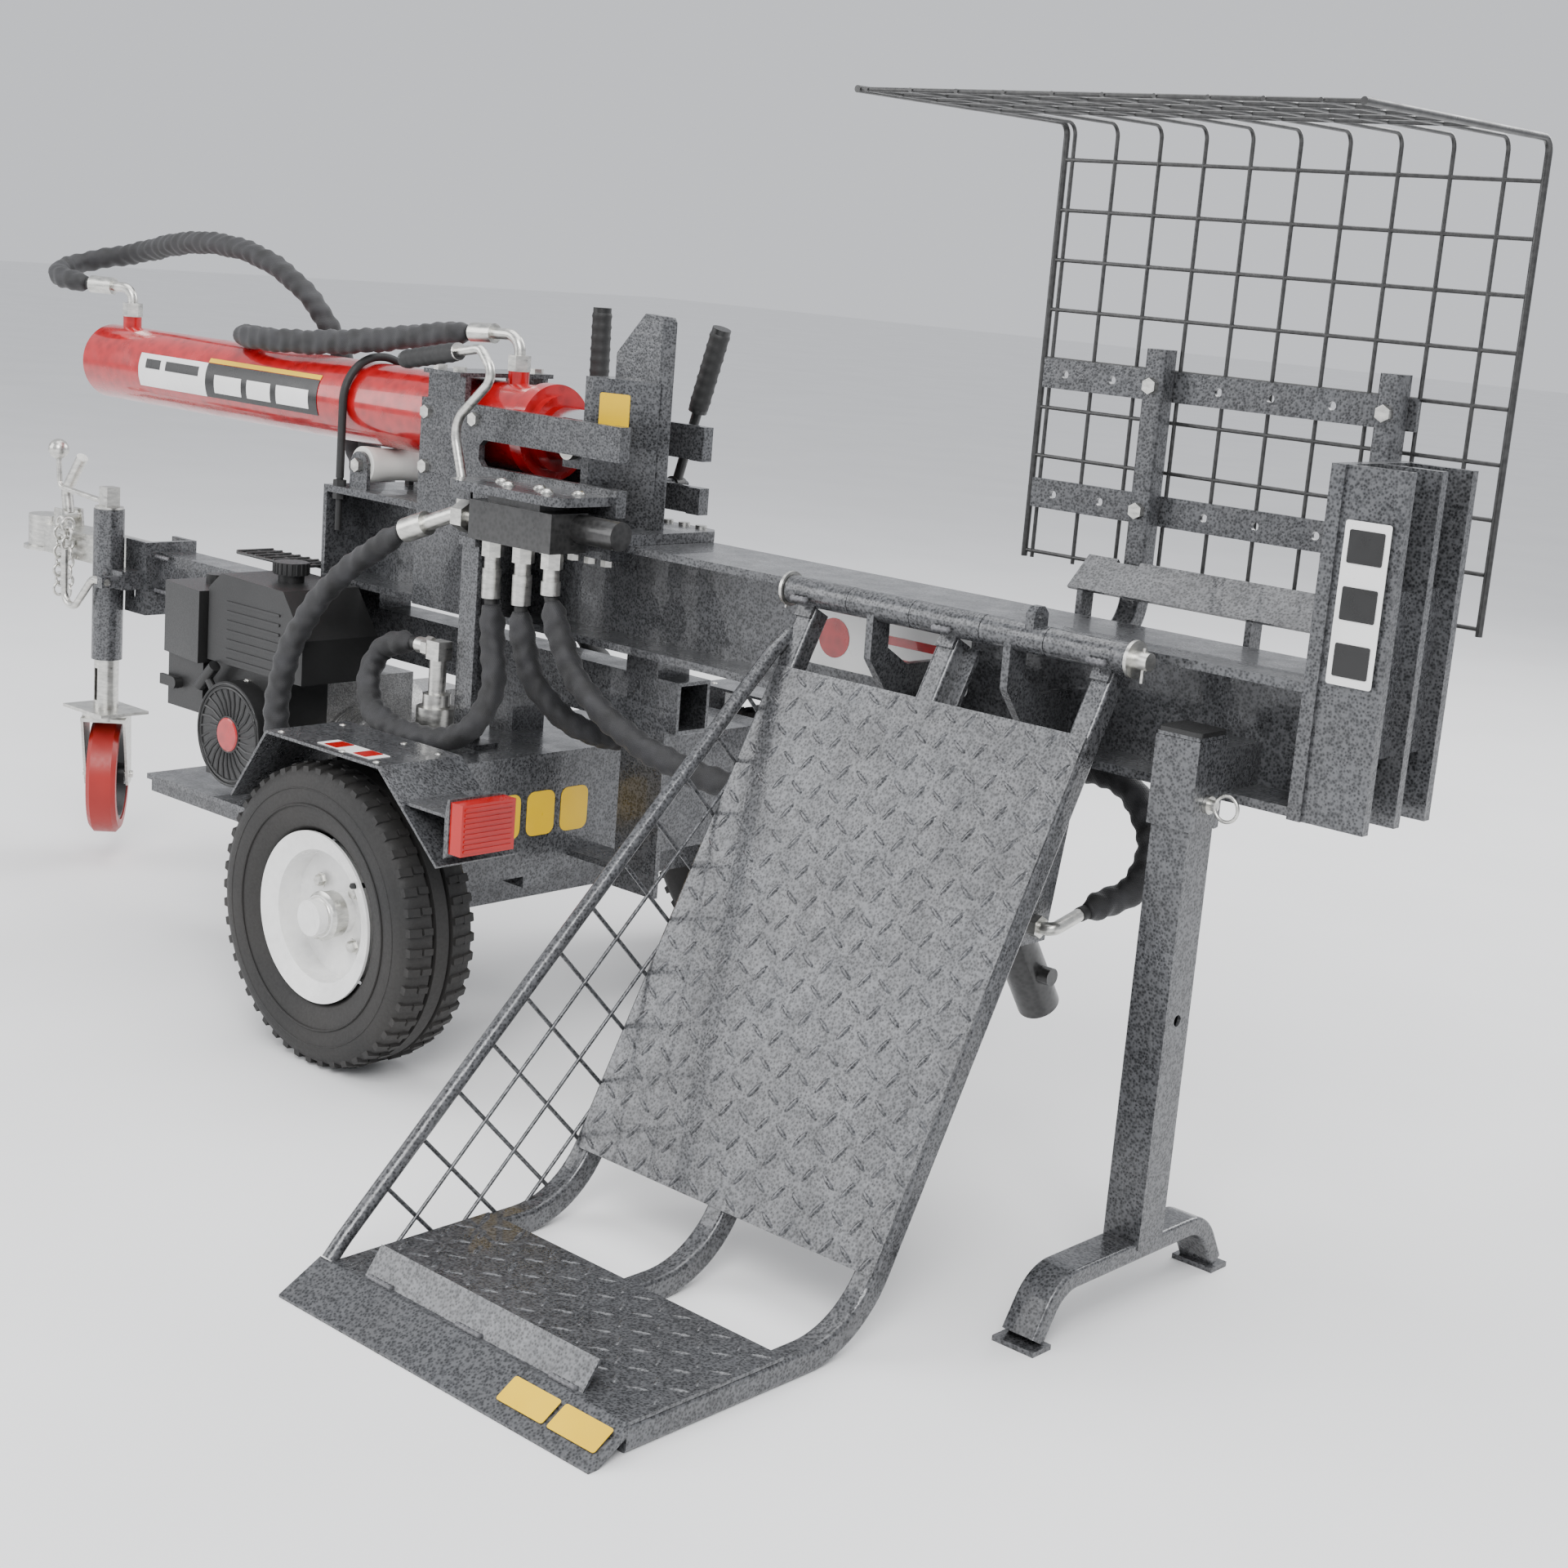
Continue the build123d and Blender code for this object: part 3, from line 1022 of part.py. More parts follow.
def table_decks():
    """Upper and lower chequered plates, the ramped lip and the raised angle stop."""
    upper = slab([on_table(TABLE_X0 + 18, 95, -5.98), on_table(TABLE_X0 + 18, 708, -5.98),
                  on_table(TABLE_X0 + 18, 708, -2), on_table(TABLE_X0 + 18, 95, -2)],
                 (TABLE_X1 - TABLE_X0 - 30, 0, 0))
    lower = block(TABLE_X0 + 18, TABLE_X1 - 12, -786, -568, TUBE + 0.02, TUBE + DECK_THICK)
    lip = slab_x([(-786, TUBE + DECK_THICK), (LIP_Y, 3), (LIP_Y, 0), (-826, 0), (-786, TUBE - 4)],
                 TABLE_X0, TABLE_X1 - 6)
    stop = slab_x([(-768, 32), (-764, 32), (-764, 50), (-744, 50), (-744, 54), (-768, 54)], -606, -273)
    stop = slab_x([(-778, 32), (-774, 32), (-758, 56), (-742, 46), (-740, 49), (-758, 61)], -606, -273)
    return [upper, lower + lip + stop]


def table_side():
    """Side rail along the table's left edge and the welded mesh under it."""
    top = Vector(RAIL_X, -160, 640)
    low = Vector(RAIL_X, -764, 50)
    side = bent_rod([(RAIL_X, -128, 662), tuple(top), tuple(low), (RAIL_X, -782, 30)], [16, 10], 9)
    lean = radians(TABLE_LEAN)
    along = (low - top).normalized()
    across = Vector(0, -along.Z, along.Y)
    floor = TUBE - 6
    for k in range(1, 13):
        here = top + along * (k * MESH_PITCH)
        out = sin(lean) * (here.Z - HINGE_Z) - cos(lean) * (here.Y - HINGE_Y)
        fall = cos(lean) * across.Y - sin(lean) * across.Z
        reach = min((out + 10) / fall, (floor - here.Z) / across.Z)
        side += rod(tuple(here + Vector(3, 0, 0)), tuple(here + Vector(3, 0, 0) + across * reach), WIRE_R)
    for k in range(1, 5):
        here = top + across * (k * MESH_PITCH)
        out = sin(lean) * (here.Z - HINGE_Z) - cos(lean) * (here.Y - HINGE_Y)
        rise = sin(lean) * along.Z - cos(lean) * along.Y
        begin = (-10 - out) / rise
        end = (floor - here.Z) / along.Z
        if end - begin > MESH_PITCH:
            first = here + along * begin + Vector(4.5, 0, 0)
            side += rod(tuple(first), tuple(here + along * end + Vector(4.5, 0, 0)), WIRE_R - 0.3)
    return side


def table_lug():
    """Two lug plates on the back of the table with the pin's stubs for the lift cylinder."""
    eye = on_lift(LIFT_X, LIFT_EYE_AT)
    pieces = []
    for side in (-1, 1):
        x0, x1 = sorted((LIFT_X + side * 15, LIFT_X + side * 21))
        back = [on_table(x0, 110, -6.02), on_table(x0, 215, -6.02), (x0, eye[1] + 16, eye[2] - 12),
                (x0, eye[1] + 20, eye[2] + 12)]
        lug = slab(back, (6, 0, 0))
        x0, x1 = sorted((LIFT_X + side * 14.5, LIFT_X + side * 27))
        lug += rod((x0, eye[1], eye[2]), (x1, eye[1], eye[2]), 9)
        pieces.append(lug)
    return pieces


def lift_barrel():
    """Barrel of the lift cylinder with its trunnions, its port and its gland."""
    barrel = pipe(on_lift(LIFT_X, 12), on_lift(LIFT_X, LIFT_LENGTH), LIFT_BARREL_R, 20)
    barrel += rod(on_lift(LIFT_X, 0), on_lift(LIFT_X, 14), LIFT_BARREL_R)
    barrel += pipe(on_lift(LIFT_X, LIFT_LENGTH - 22), on_lift(LIFT_X, LIFT_LENGTH - 1), 20.5, LIFT_ROD_R + FIT)
    pivot = on_lift(LIFT_X, LIFT_PIVOT_AT)
    for side in (-1, 1):
        trunnion = rod((LIFT_X + side * 22, pivot[1], pivot[2]), (LIFT_X + side * 41.5, pivot[1], pivot[2]), 9)
        barrel += trunnion
    vent = on_lift(LIFT_X, 60)
    barrel += rod((LIFT_X + 22, vent[1], vent[2]), (LIFT_X + 40, vent[1], vent[2]), 11)
    return barrel


def lift_rod():
    """Chromed rod of the lift cylinder with its piston and its eye."""
    bar = rod(on_lift(LIFT_X, 20), on_lift(LIFT_X, 50), 19.95)
    bar += rod(on_lift(LIFT_X, 50), on_lift(LIFT_X, LIFT_EYE_AT - 10), LIFT_ROD_R)
    eye = on_lift(LIFT_X, LIFT_EYE_AT)
    bar += rod((LIFT_X - 12, eye[1], eye[2]), (LIFT_X + 12, eye[1], eye[2]), 18)
    return bar - rod((LIFT_X - 13, eye[1], eye[2]), (LIFT_X + 13, eye[1], eye[2]), 9.5)


def lift_hanger():
    """Two hanger plates from the beam's lower flange with the trunnion bores of the lift cylinder."""
    pivot = on_lift(LIFT_X, LIFT_PIVOT_AT)
    low = BEAM_TOP - BEAM_HEIGHT
    pieces = []
    for side in (-1, 1):
        x0, x1 = sorted((LIFT_X + side * 34, LIFT_X + side * 42))
        plate = slab_x([(pivot[1] - 24, pivot[2] - 22), (pivot[1] + 24, pivot[2] - 22),
                        (pivot[1] + 66, low - 0.02), (pivot[1] + 6, low - 0.02)], x0, x1)
        plate -= rod((x0 - 1, pivot[1], pivot[2]), (x1 + 1, pivot[1], pivot[2]), 9 + FIT)
        pieces.append(plate)
    return pieces


def hose_manifold():
    """Block on the beam's far side where the ram's hoses end."""
    x, y, z = MANIFOLD
    body = block(x - 60, x + 60, BEAM_HALF + 0.02, y + 20, z - 42, z + 42)
    for rise in (-20, 20):
        body += rod((x - 60, y, z + rise), (x - 96, y, z + rise), 12)
    return body + rod((x + 60, y, z), (x + 96, y, z), 12)


def hoses():
    """The free hydraulic hoses, each along its own route."""
    mx, my, mz = MANIFOLD
    ports = [(x, y, VALVE_Z0 - drop) for x, y, drop in VALVE_PORTS]
    routes = {
        "hose_ram_rear": [REAR_END, (-2404, -52, 960), (-2466, -34, 972), (-2492, 28, 988), (-2456, 88, 1004),
                          (-2386, 100, 1018), (-2290, 84, 1034), (-2160, 70, 1044), (-2020, 70, 1030),
                          (-1910, 90, 970), (-1850, 112, 870), (-1812, 122, 770), (-1752, 116, 690),
                          (-1692, my, mz + 20), (mx - 96, my, mz + 20)],
        "hose_ram_front": [FRONT_END, (-1480, -14, 950), (-1600, -26, 930), (-1740, -40, 914), (-1850, -54, 910),
                           (-1926, -42, 910), (-1956, 26, 908), (-1924, 92, 888), (-1860, 112, 820),
                           (-1820, 114, 734), (-1770, 112, 656), (-1700, my, mz - 20), (mx - 96, my, mz - 20)],
        "hose_inlet": [INLET_END, (-1400, -172, 662), (-1470, -200, 600), (-1506, -238, 512), (-1512, -256, 410),
                       (-1490, -254, 320), (-1440, -222, 268), (-1422, -140, 262), (-1426, -40, 272),
                       (-1440, 60, 300), (-1486, 126, 336), PUMP_END],
        "hose_return": [ports[0], (-1174, -150, 558), (-1146, -168, 490), (-1166, -206, 436), (-1232, -222, 426),
                        (-1308, -218, 430), (-1368, -204, 448), (-1390, -186, 496), (-1366, -172, 538),
                        RETURN_END],
        "hose_far": [ports[1], (-1120, -148, 560), (-1100, -120, 490), (-1066, -60, 446), (-1070, 20, 436),
                     (-1110, 92, 446), (-1190, 132, 470), (-1286, 140, 506), (-1330, 136, 582),
                     (-1380, my + 6, mz - 4), (mx + 96, my, mz)],
        "hose_lift": [ports[2], (-1050, -148, 590), (-1010, -140, 526), (-920, -124, 470), (-800, -100, 442),
                      (-670, -60, 436), (-550, 6, 456), (-460, 62, 500), (-380, 84, 536), (-306, 92, 528),
                      (-266, 100, 468), (-276, 96, 404), (-308, 72, 380), LIFT_PORT],
    }
    return {name: hose(name, points, HOSE_R) for name, points in routes.items()}


def build_nodes():
    """Every node of the log splitter as a list of solids."""
    nodes = {
        "main_beam": main_beam(),
        "foot_plate": foot_plate(),
        "lift_mounts": hinge_lugs() + lift_hanger(),
        "leg_sleeve": leg_sleeve(),
        "leg_pin": leg_pin(),
        "support_leg": [support_leg(), leg_cap()],
        "barrel_roller": barrel_roller(),
        "barrel_strap": barrel_strap(),
        "cylinder_barrel": cylinder_barrel(),
        "piston_rod": [piston_rod(), rod_eye()],
        "wedge": [wedge(), slide_plate()],
        "wedge_fasteners": wedge_fasteners(),
        "ram_bracket": ram_bracket(),
        "frame_fasteners": bracket_bolts() + guard_bolts() + [roller_bolt(), hinge_pin()],
        "guard_mesh": guard_mesh(),
        "guard_frame": guard_frame(),
        "oil_tank": oil_tank(),
        "tank_cap": tank_cap(),
        "chassis": chassis() + [tongue(), jockey_tube(), clamp_post()],
        "fenders": [fender(y) for y in WHEEL_YS],
        "tail_lights": tail_lights(),
        "coupler": [coupler()] + latch_lugs(),
        "coupler_latch": coupler_latch(),
        "safety_chains": safety_chains(),
        "caster_stem": caster_stem(),
        "jockey_crank": jockey_crank(),
        "clamp_handle": clamp_handle(),
        "caster_fork": caster_fork(),
        "caster_wheel": caster_wheel(),
        "caster_tread": caster_tread(),
        "engine_block": engine_block(),
        "engine_covers": [engine_shroud(), engine_tank(), air_filter()],
        "engine_levers": engine_levers(),
        "crankshaft": crankshaft(),
        "pull_handle": pull_handle(),
        "fuel_cap": fuel_cap(),
        "muffler": muffler(),
        "hydraulic_pump": hydraulic_pump(),
        "valve_stand": valve_stand() + lever_pivots(),
        "valve_body": valve_body(),
        "valve_spool": valve_spool(),
        "control_lever": control_lever(),
        "hose_fittings": cylinder_fittings() + valve_fittings() + tank_fittings() + [hose_manifold(), lift_fitting()],
        "table_frame": [table_frame()] + table_lug(),
        "table_decks": table_decks(),
        "table_side": table_side(),
        "lift_barrel": lift_barrel(),
        "lift_rod": lift_rod(),
    }
    for name, y in zip(("near", "far"), WHEEL_YS):
        nodes["rim_" + name] = wheel_rim(y)
        nodes["tyre_" + name] = tyre(y)
    for name, (x, y, lean) in zip(("a", "b"), FAR_LEVERS):
        nodes["far_lever_" + name] = far_lever(x, y, lean)
    nodes.update(hoses())
    return nodes


def solids_of(shape):
    shapes = shape if isinstance(shape, list) else [shape]
    found = []
    for item in shapes:
        found += item.solids()
    return found


def main():
    os.makedirs("parts", exist_ok=True)
    nodes = {name: Compound(solids_of(shape)) for name, shape in build_nodes().items()}
    box = Compound(list(nodes.values())).bounding_box()
    shift = Pos(-(box.min.X + box.max.X) / 2, -(box.min.Y + box.max.Y) / 2, -box.min.Z)
    print("shift", shift.position, "size", box.size)
    for name, shape in nodes.items():
        placed = (shift * shape).solids()
        export_step(placed[0] if len(placed) == 1 else Compound(placed), "parts/" + name + ".step")


main()
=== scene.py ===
import json
import math
import random
import bmesh
import bpy
from mathutils import Matrix, Vector


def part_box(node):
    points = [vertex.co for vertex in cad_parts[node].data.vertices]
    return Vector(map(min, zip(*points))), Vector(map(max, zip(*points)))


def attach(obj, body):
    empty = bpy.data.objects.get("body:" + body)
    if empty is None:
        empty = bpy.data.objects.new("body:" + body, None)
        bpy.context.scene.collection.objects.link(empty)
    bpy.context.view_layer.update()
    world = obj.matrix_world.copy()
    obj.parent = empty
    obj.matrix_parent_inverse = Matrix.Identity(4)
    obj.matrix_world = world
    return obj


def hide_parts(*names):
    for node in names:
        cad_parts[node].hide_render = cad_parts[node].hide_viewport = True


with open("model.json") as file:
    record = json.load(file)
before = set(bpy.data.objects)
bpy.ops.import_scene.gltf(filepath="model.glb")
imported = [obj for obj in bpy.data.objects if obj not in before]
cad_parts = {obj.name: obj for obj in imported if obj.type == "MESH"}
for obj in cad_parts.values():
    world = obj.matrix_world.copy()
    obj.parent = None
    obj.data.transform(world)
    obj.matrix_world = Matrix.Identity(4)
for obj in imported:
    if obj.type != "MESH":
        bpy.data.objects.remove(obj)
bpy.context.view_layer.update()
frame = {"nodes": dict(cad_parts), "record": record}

random.seed(7)
NODES = frame["nodes"]
SLOT_OF = {s["node"]: s["material_slot"] for s in frame["record"]["subparts"]}
# From the CAD layout to the row frame, in millimetres. Typed in: moving the part needs it changed.
SHIFT = Vector((1243.5, 148.0, 0.0))


def at(x, y, z):
    """A point of the machine's own millimetre layout, in the row frame in metres."""
    return (Vector((x, y, z)) + SHIFT) / 1000


# ---- Materials ----------------------------------------------------------------------------------
def new_mat(name, color, rough, metal=0.0, coat=0.0):
    m = bpy.data.materials.new(name)
    m.use_nodes = True
    nt = m.node_tree
    p = nt.nodes["Principled BSDF"]
    p.inputs["Base Color"].default_value = (*color, 1)
    p.inputs["Roughness"].default_value = rough
    p.inputs["Metallic"].default_value = metal
    p.inputs["Coat Weight"].default_value = coat
    return m, nt, p


def coords(nt, scale=(1, 1, 1)):
    tc = nt.nodes.new("ShaderNodeTexCoord")
    mp = nt.nodes.new("ShaderNodeMapping")
    mp.inputs["Scale"].default_value = scale
    nt.links.new(tc.outputs["Object"], mp.inputs["Vector"])
    return mp.outputs["Vector"]


def noise(nt, vec, scale, detail=4.0, rough=0.5):
    n = nt.nodes.new("ShaderNodeTexNoise")
    n.inputs["Scale"].default_value = scale
    n.inputs["Detail"].default_value = detail
    n.inputs["Roughness"].default_value = rough
    nt.links.new(vec, n.inputs["Vector"])
    return n.outputs["Fac"]


def voronoi(nt, vec, scale, feature="F1"):
    n = nt.nodes.new("ShaderNodeTexVoronoi")
    n.feature = feature
    n.inputs["Scale"].default_value = scale
    nt.links.new(vec, n.inputs["Vector"])
    return n.outputs["Distance"]


def ramp(nt, fac, stops):
    r = nt.nodes.new("ShaderNodeValToRGB")
    el = r.color_ramp.elements
    while len(el) < len(stops):
        el.new(0.5)
    for e, (pos, col) in zip(el, stops):
        e.position = pos
        e.color = (*col, 1) if len(col) == 3 else col
    nt.links.new(fac, r.inputs["Fac"])
    return r.outputs["Color"]


def bump(nt, p, height, strength, distance=0.001):
    b = nt.nodes.new("ShaderNodeBump")
    b.inputs["Strength"].default_value = strength
    b.inputs["Distance"].default_value = distance
    nt.links.new(height, b.inputs["Height"])
    nt.links.new(b.outputs["Normal"], p.inputs["Normal"])


def grey(v):
    return (v, v, v)


def speckled(name, dark, light, rough, metal, scale, strength, coat=0.0, wear=None):
    """Paint or metal whose cells, stains and sheen vary over the surface."""
    m, nt, p = new_mat(name, light, rough, metal, coat)
    vec = coords(nt)
    cells = voronoi(nt, vec, scale)
    fine = noise(nt, vec, scale * 0.55, 5)
    mix = nt.nodes.new("ShaderNodeMath")
    mix.operation = "MULTIPLY"
    nt.links.new(cells, mix.inputs[0])
    nt.links.new(fine, mix.inputs[1])
    col = ramp(nt, mix.outputs[0], [(0.06, dark), (0.36, light)])
    if wear:
        broad = noise(nt, vec, 9, 8, 0.7)
        stain = ramp(nt, broad, [(0.35, (1, 1, 1)), (0.8, wear)])
        mul = nt.nodes.new("ShaderNodeMix")
        mul.data_type = "RGBA"
        mul.blend_type = "MULTIPLY"
        mul.inputs["Factor"].default_value = 1.0
        nt.links.new(col, mul.inputs["A"])
        nt.links.new(stain, mul.inputs["B"])
        col = mul.outputs["Result"]
    nt.links.new(col, p.inputs["Base Color"])
    r = ramp(nt, noise(nt, vec, 30, 4), [(0.3, grey(max(0.05, rough - 0.09))), (0.7, grey(rough + 0.12))])
    nt.links.new(r, p.inputs["Roughness"])
    bump(nt, p, mix.outputs[0], strength)
    return m


def brushed(name, dark, light, rough, stretch):
    m, nt, p = new_mat(name, light, rough, 1.0)
    vec = coords(nt, stretch)
    n = noise(nt, vec, 60, 6, 0.65)
    nt.links.new(ramp(nt, n, [(0.3, dark), (0.7, light)]), p.inputs["Base Color"])
    nt.links.new(ramp(nt, n, [(0.3, grey(rough)), (0.75, grey(rough + 0.16))]), p.inputs["Roughness"])
    bump(nt, p, n, 0.06)
    return m


def soft_mat(name, dark, light, rough, scale, strength, sheen=0.0):
    m, nt, p = new_mat(name, light, rough)
    p.inputs["Sheen Weight"].default_value = sheen
    vec = coords(nt)
    n = noise(nt, vec, scale, 7, 0.6)
    broad = noise(nt, vec, 6, 4)
    nt.links.new(ramp(nt, broad, [(0.3, dark), (0.7, light)]), p.inputs["Base Color"])
    nt.links.new(ramp(nt, n, [(0.3, grey(rough - 0.08)), (0.7, grey(rough + 0.08))]), p.inputs["Roughness"])
    bump(nt, p, n, strength)
    return m


def woven(name):
    """Black nylon braid: fine diagonal ribs with folds, duller where it has been rubbed."""
    m, nt, p = new_mat(name, (0.02, 0.02, 0.022), 0.62)
    p.inputs["Sheen Weight"].default_value = 0.08
    vec = coords(nt)
    heights = []
    for axis in ("X", "Z"):
        w = nt.nodes.new("ShaderNodeTexWave")
        w.bands_direction = "DIAGONAL" if axis == "X" else "Z"
        w.inputs["Scale"].default_value = 170
        w.inputs["Distortion"].default_value = 1.5
        nt.links.new(vec, w.inputs["Vector"])
        heights.append(w.outputs["Fac"])
    mx = nt.nodes.new("ShaderNodeMath")
    mx.operation = "MULTIPLY"
    nt.links.new(heights[0], mx.inputs[0])
    nt.links.new(heights[1], mx.inputs[1])
    n = noise(nt, vec, 40, 5)
    nt.links.new(ramp(nt, n, [(0.3, grey(0.006)), (0.75, (0.024, 0.024, 0.027))]), p.inputs["Base Color"])
    bump(nt, p, mx.outputs[0], 0.5, 0.0006)
    return m


M = {
    "hammertone": speckled("hammertone_paint", (0.018, 0.019, 0.021), (0.12, 0.123, 0.13), 0.28, 0.4, 300, 0.4,
                           0.3, (0.8, 0.78, 0.76)),
    "red_paint": speckled("gloss_red_paint", (0.3, 0.003, 0.005), (0.44, 0.006, 0.01), 0.2, 0.0, 60, 0.03, 0.6,
                          (0.9, 0.84, 0.82)),
    "white_paint": speckled("white_gloss_paint", (0.76, 0.76, 0.75), (0.82, 0.82, 0.81), 0.24, 0.0, 80, 0.02, 0.4,
                            (0.93, 0.92, 0.9)),
    "zinc": brushed("zinc_plate", (0.42, 0.42, 0.4), (0.74, 0.73, 0.69), 0.26, (1, 1, 3)),
    "chrome": brushed("hard_chrome", (0.62, 0.62, 0.63), (0.8, 0.8, 0.81), 0.1, (1, 30, 30)),
    "rubber": soft_mat("black_rubber", grey(0.008), grey(0.018), 0.6, 180, 0.2),
    "tyre": soft_mat("tyre_rubber", grey(0.009), (0.024, 0.022, 0.02), 0.68, 240, 0.25),
    "white_nylon": soft_mat("white_nylon", (0.66, 0.66, 0.62), (0.82, 0.82, 0.79), 0.45, 90, 0.06),
    "black_plastic": soft_mat("moulded_black_plastic", grey(0.007), grey(0.017), 0.4, 420, 0.22),
    "black_paint": speckled("black_satin_paint", grey(0.012), grey(0.03), 0.36, 0.0, 150, 0.08, 0.2, (0.8, 0.78, 0.75)),
    "cast_aluminium": speckled("cast_aluminium", grey(0.3), grey(0.56), 0.42, 0.9, 420, 0.4, 0.0, (0.75, 0.73, 0.7)),
    "hose_sleeve": woven("nylon_sleeve"),
    "red_urethane": soft_mat("red_urethane", (0.22, 0.006, 0.004), (0.36, 0.012, 0.008), 0.4, 120, 0.1),
    "red_lens": soft_mat("red_lens", (0.32, 0.002, 0.002), (0.5, 0.006, 0.004), 0.16, 60, 0.05),
    "yellow_label": soft_mat("yellow_label", (0.7, 0.42, 0.0), (0.82, 0.52, 0.0), 0.35, 60, 0.02),
    "white_label": soft_mat("white_label", (0.7, 0.7, 0.69), (0.86, 0.86, 0.85), 0.32, 60, 0.02),
    "black_label": soft_mat("black_label", grey(0.012), grey(0.02), 0.3, 60, 0.02),
    "weld": brushed("weld_bead", (0.08, 0.08, 0.085), (0.2, 0.2, 0.21), 0.34, (3, 3, 3)),
}
M["weld"].node_tree.nodes["Principled BSDF"].inputs["Metallic"].default_value = 0.5
for name, obj in NODES.items():
    obj.data.materials.clear()
    obj.data.materials.append(M[SLOT_OF[name]])


# ---- Making pieces ------------------------------------------------------------------------------
def piece(name, bm, mat, body, smooth=None):
    me = bpy.data.meshes.new(name)
    bmesh.ops.recalc_face_normals(bm, faces=bm.faces)
    bm.to_mesh(me)
    bm.free()
    o = bpy.data.objects.new(name, me)
    bpy.context.scene.collection.objects.link(o)
    me.materials.append(M[mat])
    if smooth is not None:
        for poly in me.polygons:
            poly.use_smooth = True
        me.set_sharp_from_angle(angle=math.radians(smooth))
    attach(o, body)
    return o


def frame_on(direction, up=(0, 0, 1)):
    d = Vector(direction).normalized()
    u = Vector(up)
    if abs(d.dot(u.normalized())) > 0.95:
        u = Vector((1, 0, 0))
    side = d.cross(u).normalized()
    return side, side.cross(d).normalized(), d


def turned(bm, start, axis, profile, steps=40):
    """Solid of revolution: profile is (distance along the axis, radius) in millimetres."""
    side, up, d = frame_on(axis)
    rings = []
    for along, r in profile:
        centre = start + d * along / 1000
        rings.append([bm.verts.new(centre + (side * math.cos(a) + up * math.sin(a)) * r / 1000)
                      for a in (2 * math.pi * k / steps for k in range(steps))])
    for ra, rb in zip(rings, rings[1:]):
        for k in range(steps):
            bm.faces.new((ra[k], ra[(k + 1) % steps], rb[(k + 1) % steps], rb[k]))
    bm.faces.new(rings[0])
    bm.faces.new(list(reversed(rings[-1])))


def swept(bm, line, radius, steps=12, shape=None):
    """Tube along a line of points in metres; shape(k, n, angle) scales its radius."""
    up = Vector((0, 0, 1))
    rings = []
    n = len(line)
    side = None
    for k, here in enumerate(line):
        ahead = line[min(k + 1, n - 1)] - line[max(k - 1, 0)]
        ahead.normalize()
        if side is None:
            side = ahead.cross(up if abs(ahead.z) < 0.9 else Vector((1, 0, 0))).normalized()
        side = (side - ahead * side.dot(ahead)).normalized()
        other = ahead.cross(side)
        ring = []
        for j in range(steps):
            a = 2 * math.pi * j / steps
            r = radius * (shape(k, n, a) if shape else 1)
            ring.append(bm.verts.new(here + (side * math.cos(a) + other * math.sin(a)) * r))
        rings.append(ring)
    for ra, rb in zip(rings, rings[1:]):
        for j in range(steps):
            bm.faces.new((ra[j], ra[(j + 1) % steps], rb[(j + 1) % steps], rb[j]))
    bm.faces.new(rings[0])
    bm.faces.new(list(reversed(rings[-1])))


def lump(bm, centre, half, direction=(1, 0, 0), normal=(0, 0, 1), rows=4, steps=16, power=2.0):
    """Low rounded pad with an elliptic outline on a surface."""
    d = Vector(direction).normalized()
    u = Vector(normal).normalized()
    s = u.cross(d).normalized()
    rings = []
    for k in range(rows):
        t = k / rows
        rings.append([bm.verts.new(centre + d * (half[0] * (1 - t ** power * 0.999) * math.cos(a))
                                   + s * (half[1] * (1 - t ** power * 0.999) * math.sin(a)) + u * (half[2] * t))
                      for a in (2 * math.pi * j / steps for j in range(steps))])
    for ra, rb in zip(rings, rings[1:]):
        for j in range(steps):
            bm.faces.new((ra[j], ra[(j + 1) % steps], rb[(j + 1) % steps], rb[j]))
    top = bm.verts.new(centre + u * half[2])
    for j in range(steps):
        bm.faces.new((rings[-1][j], rings[-1][(j + 1) % steps], top))
    bm.faces.new(list(reversed(rings[0])))


def plate(bm, centre, ux, uy, un, w, h, t, r=0.004, steps=5):
    """Thin rounded rectangle lying on a surface."""
    ux, uy, un = Vector(ux).normalized(), Vector(uy).normalized(), Vector(un).normalized()
    loop = []
    for sx, sy, a0 in ((1, 1, 0), (-1, 1, 90), (-1, -1, 180), (1, -1, 270)):
        for k in range(steps):
            a = math.radians(a0 + 90 * k / (steps - 1))
            loop.append((sx * (w / 2 - r) + r * math.cos(a), sy * (h / 2 - r) + r * math.sin(a)))
    low = [bm.verts.new(centre + ux * x + uy * y) for x, y in loop]
    high = [bm.verts.new(centre + ux * x + uy * y + un * t) for x, y in loop]
    n = len(loop)
    for k in range(n):
        bm.faces.new((low[k], low[(k + 1) % n], high[(k + 1) % n], high[k]))
    bm.faces.new(high)
    bm.faces.new(list(reversed(low)))


def bead(bm, a, b, r=0.004):
    """Rippled weld bead between two points."""
    n = max(4, int((b - a).length / 0.0022))
    line = [a.lerp(b, k / n) for k in range(n + 1)]
    swept(bm, line, r, 8, lambda k, m, ang: (0.8 + 0.28 * (k % 3) / 2) * (0.4 if k in (0, m - 1) else 1))


# A plate's axes along, up and outward, on a face towards the near side and on a top face.
NEAR = ((1, 0, 0), (0, 0, 1), (0, -1, 0))
TOP = ((1, 0, 0), (0, 1, 0), (0, 0, 1))

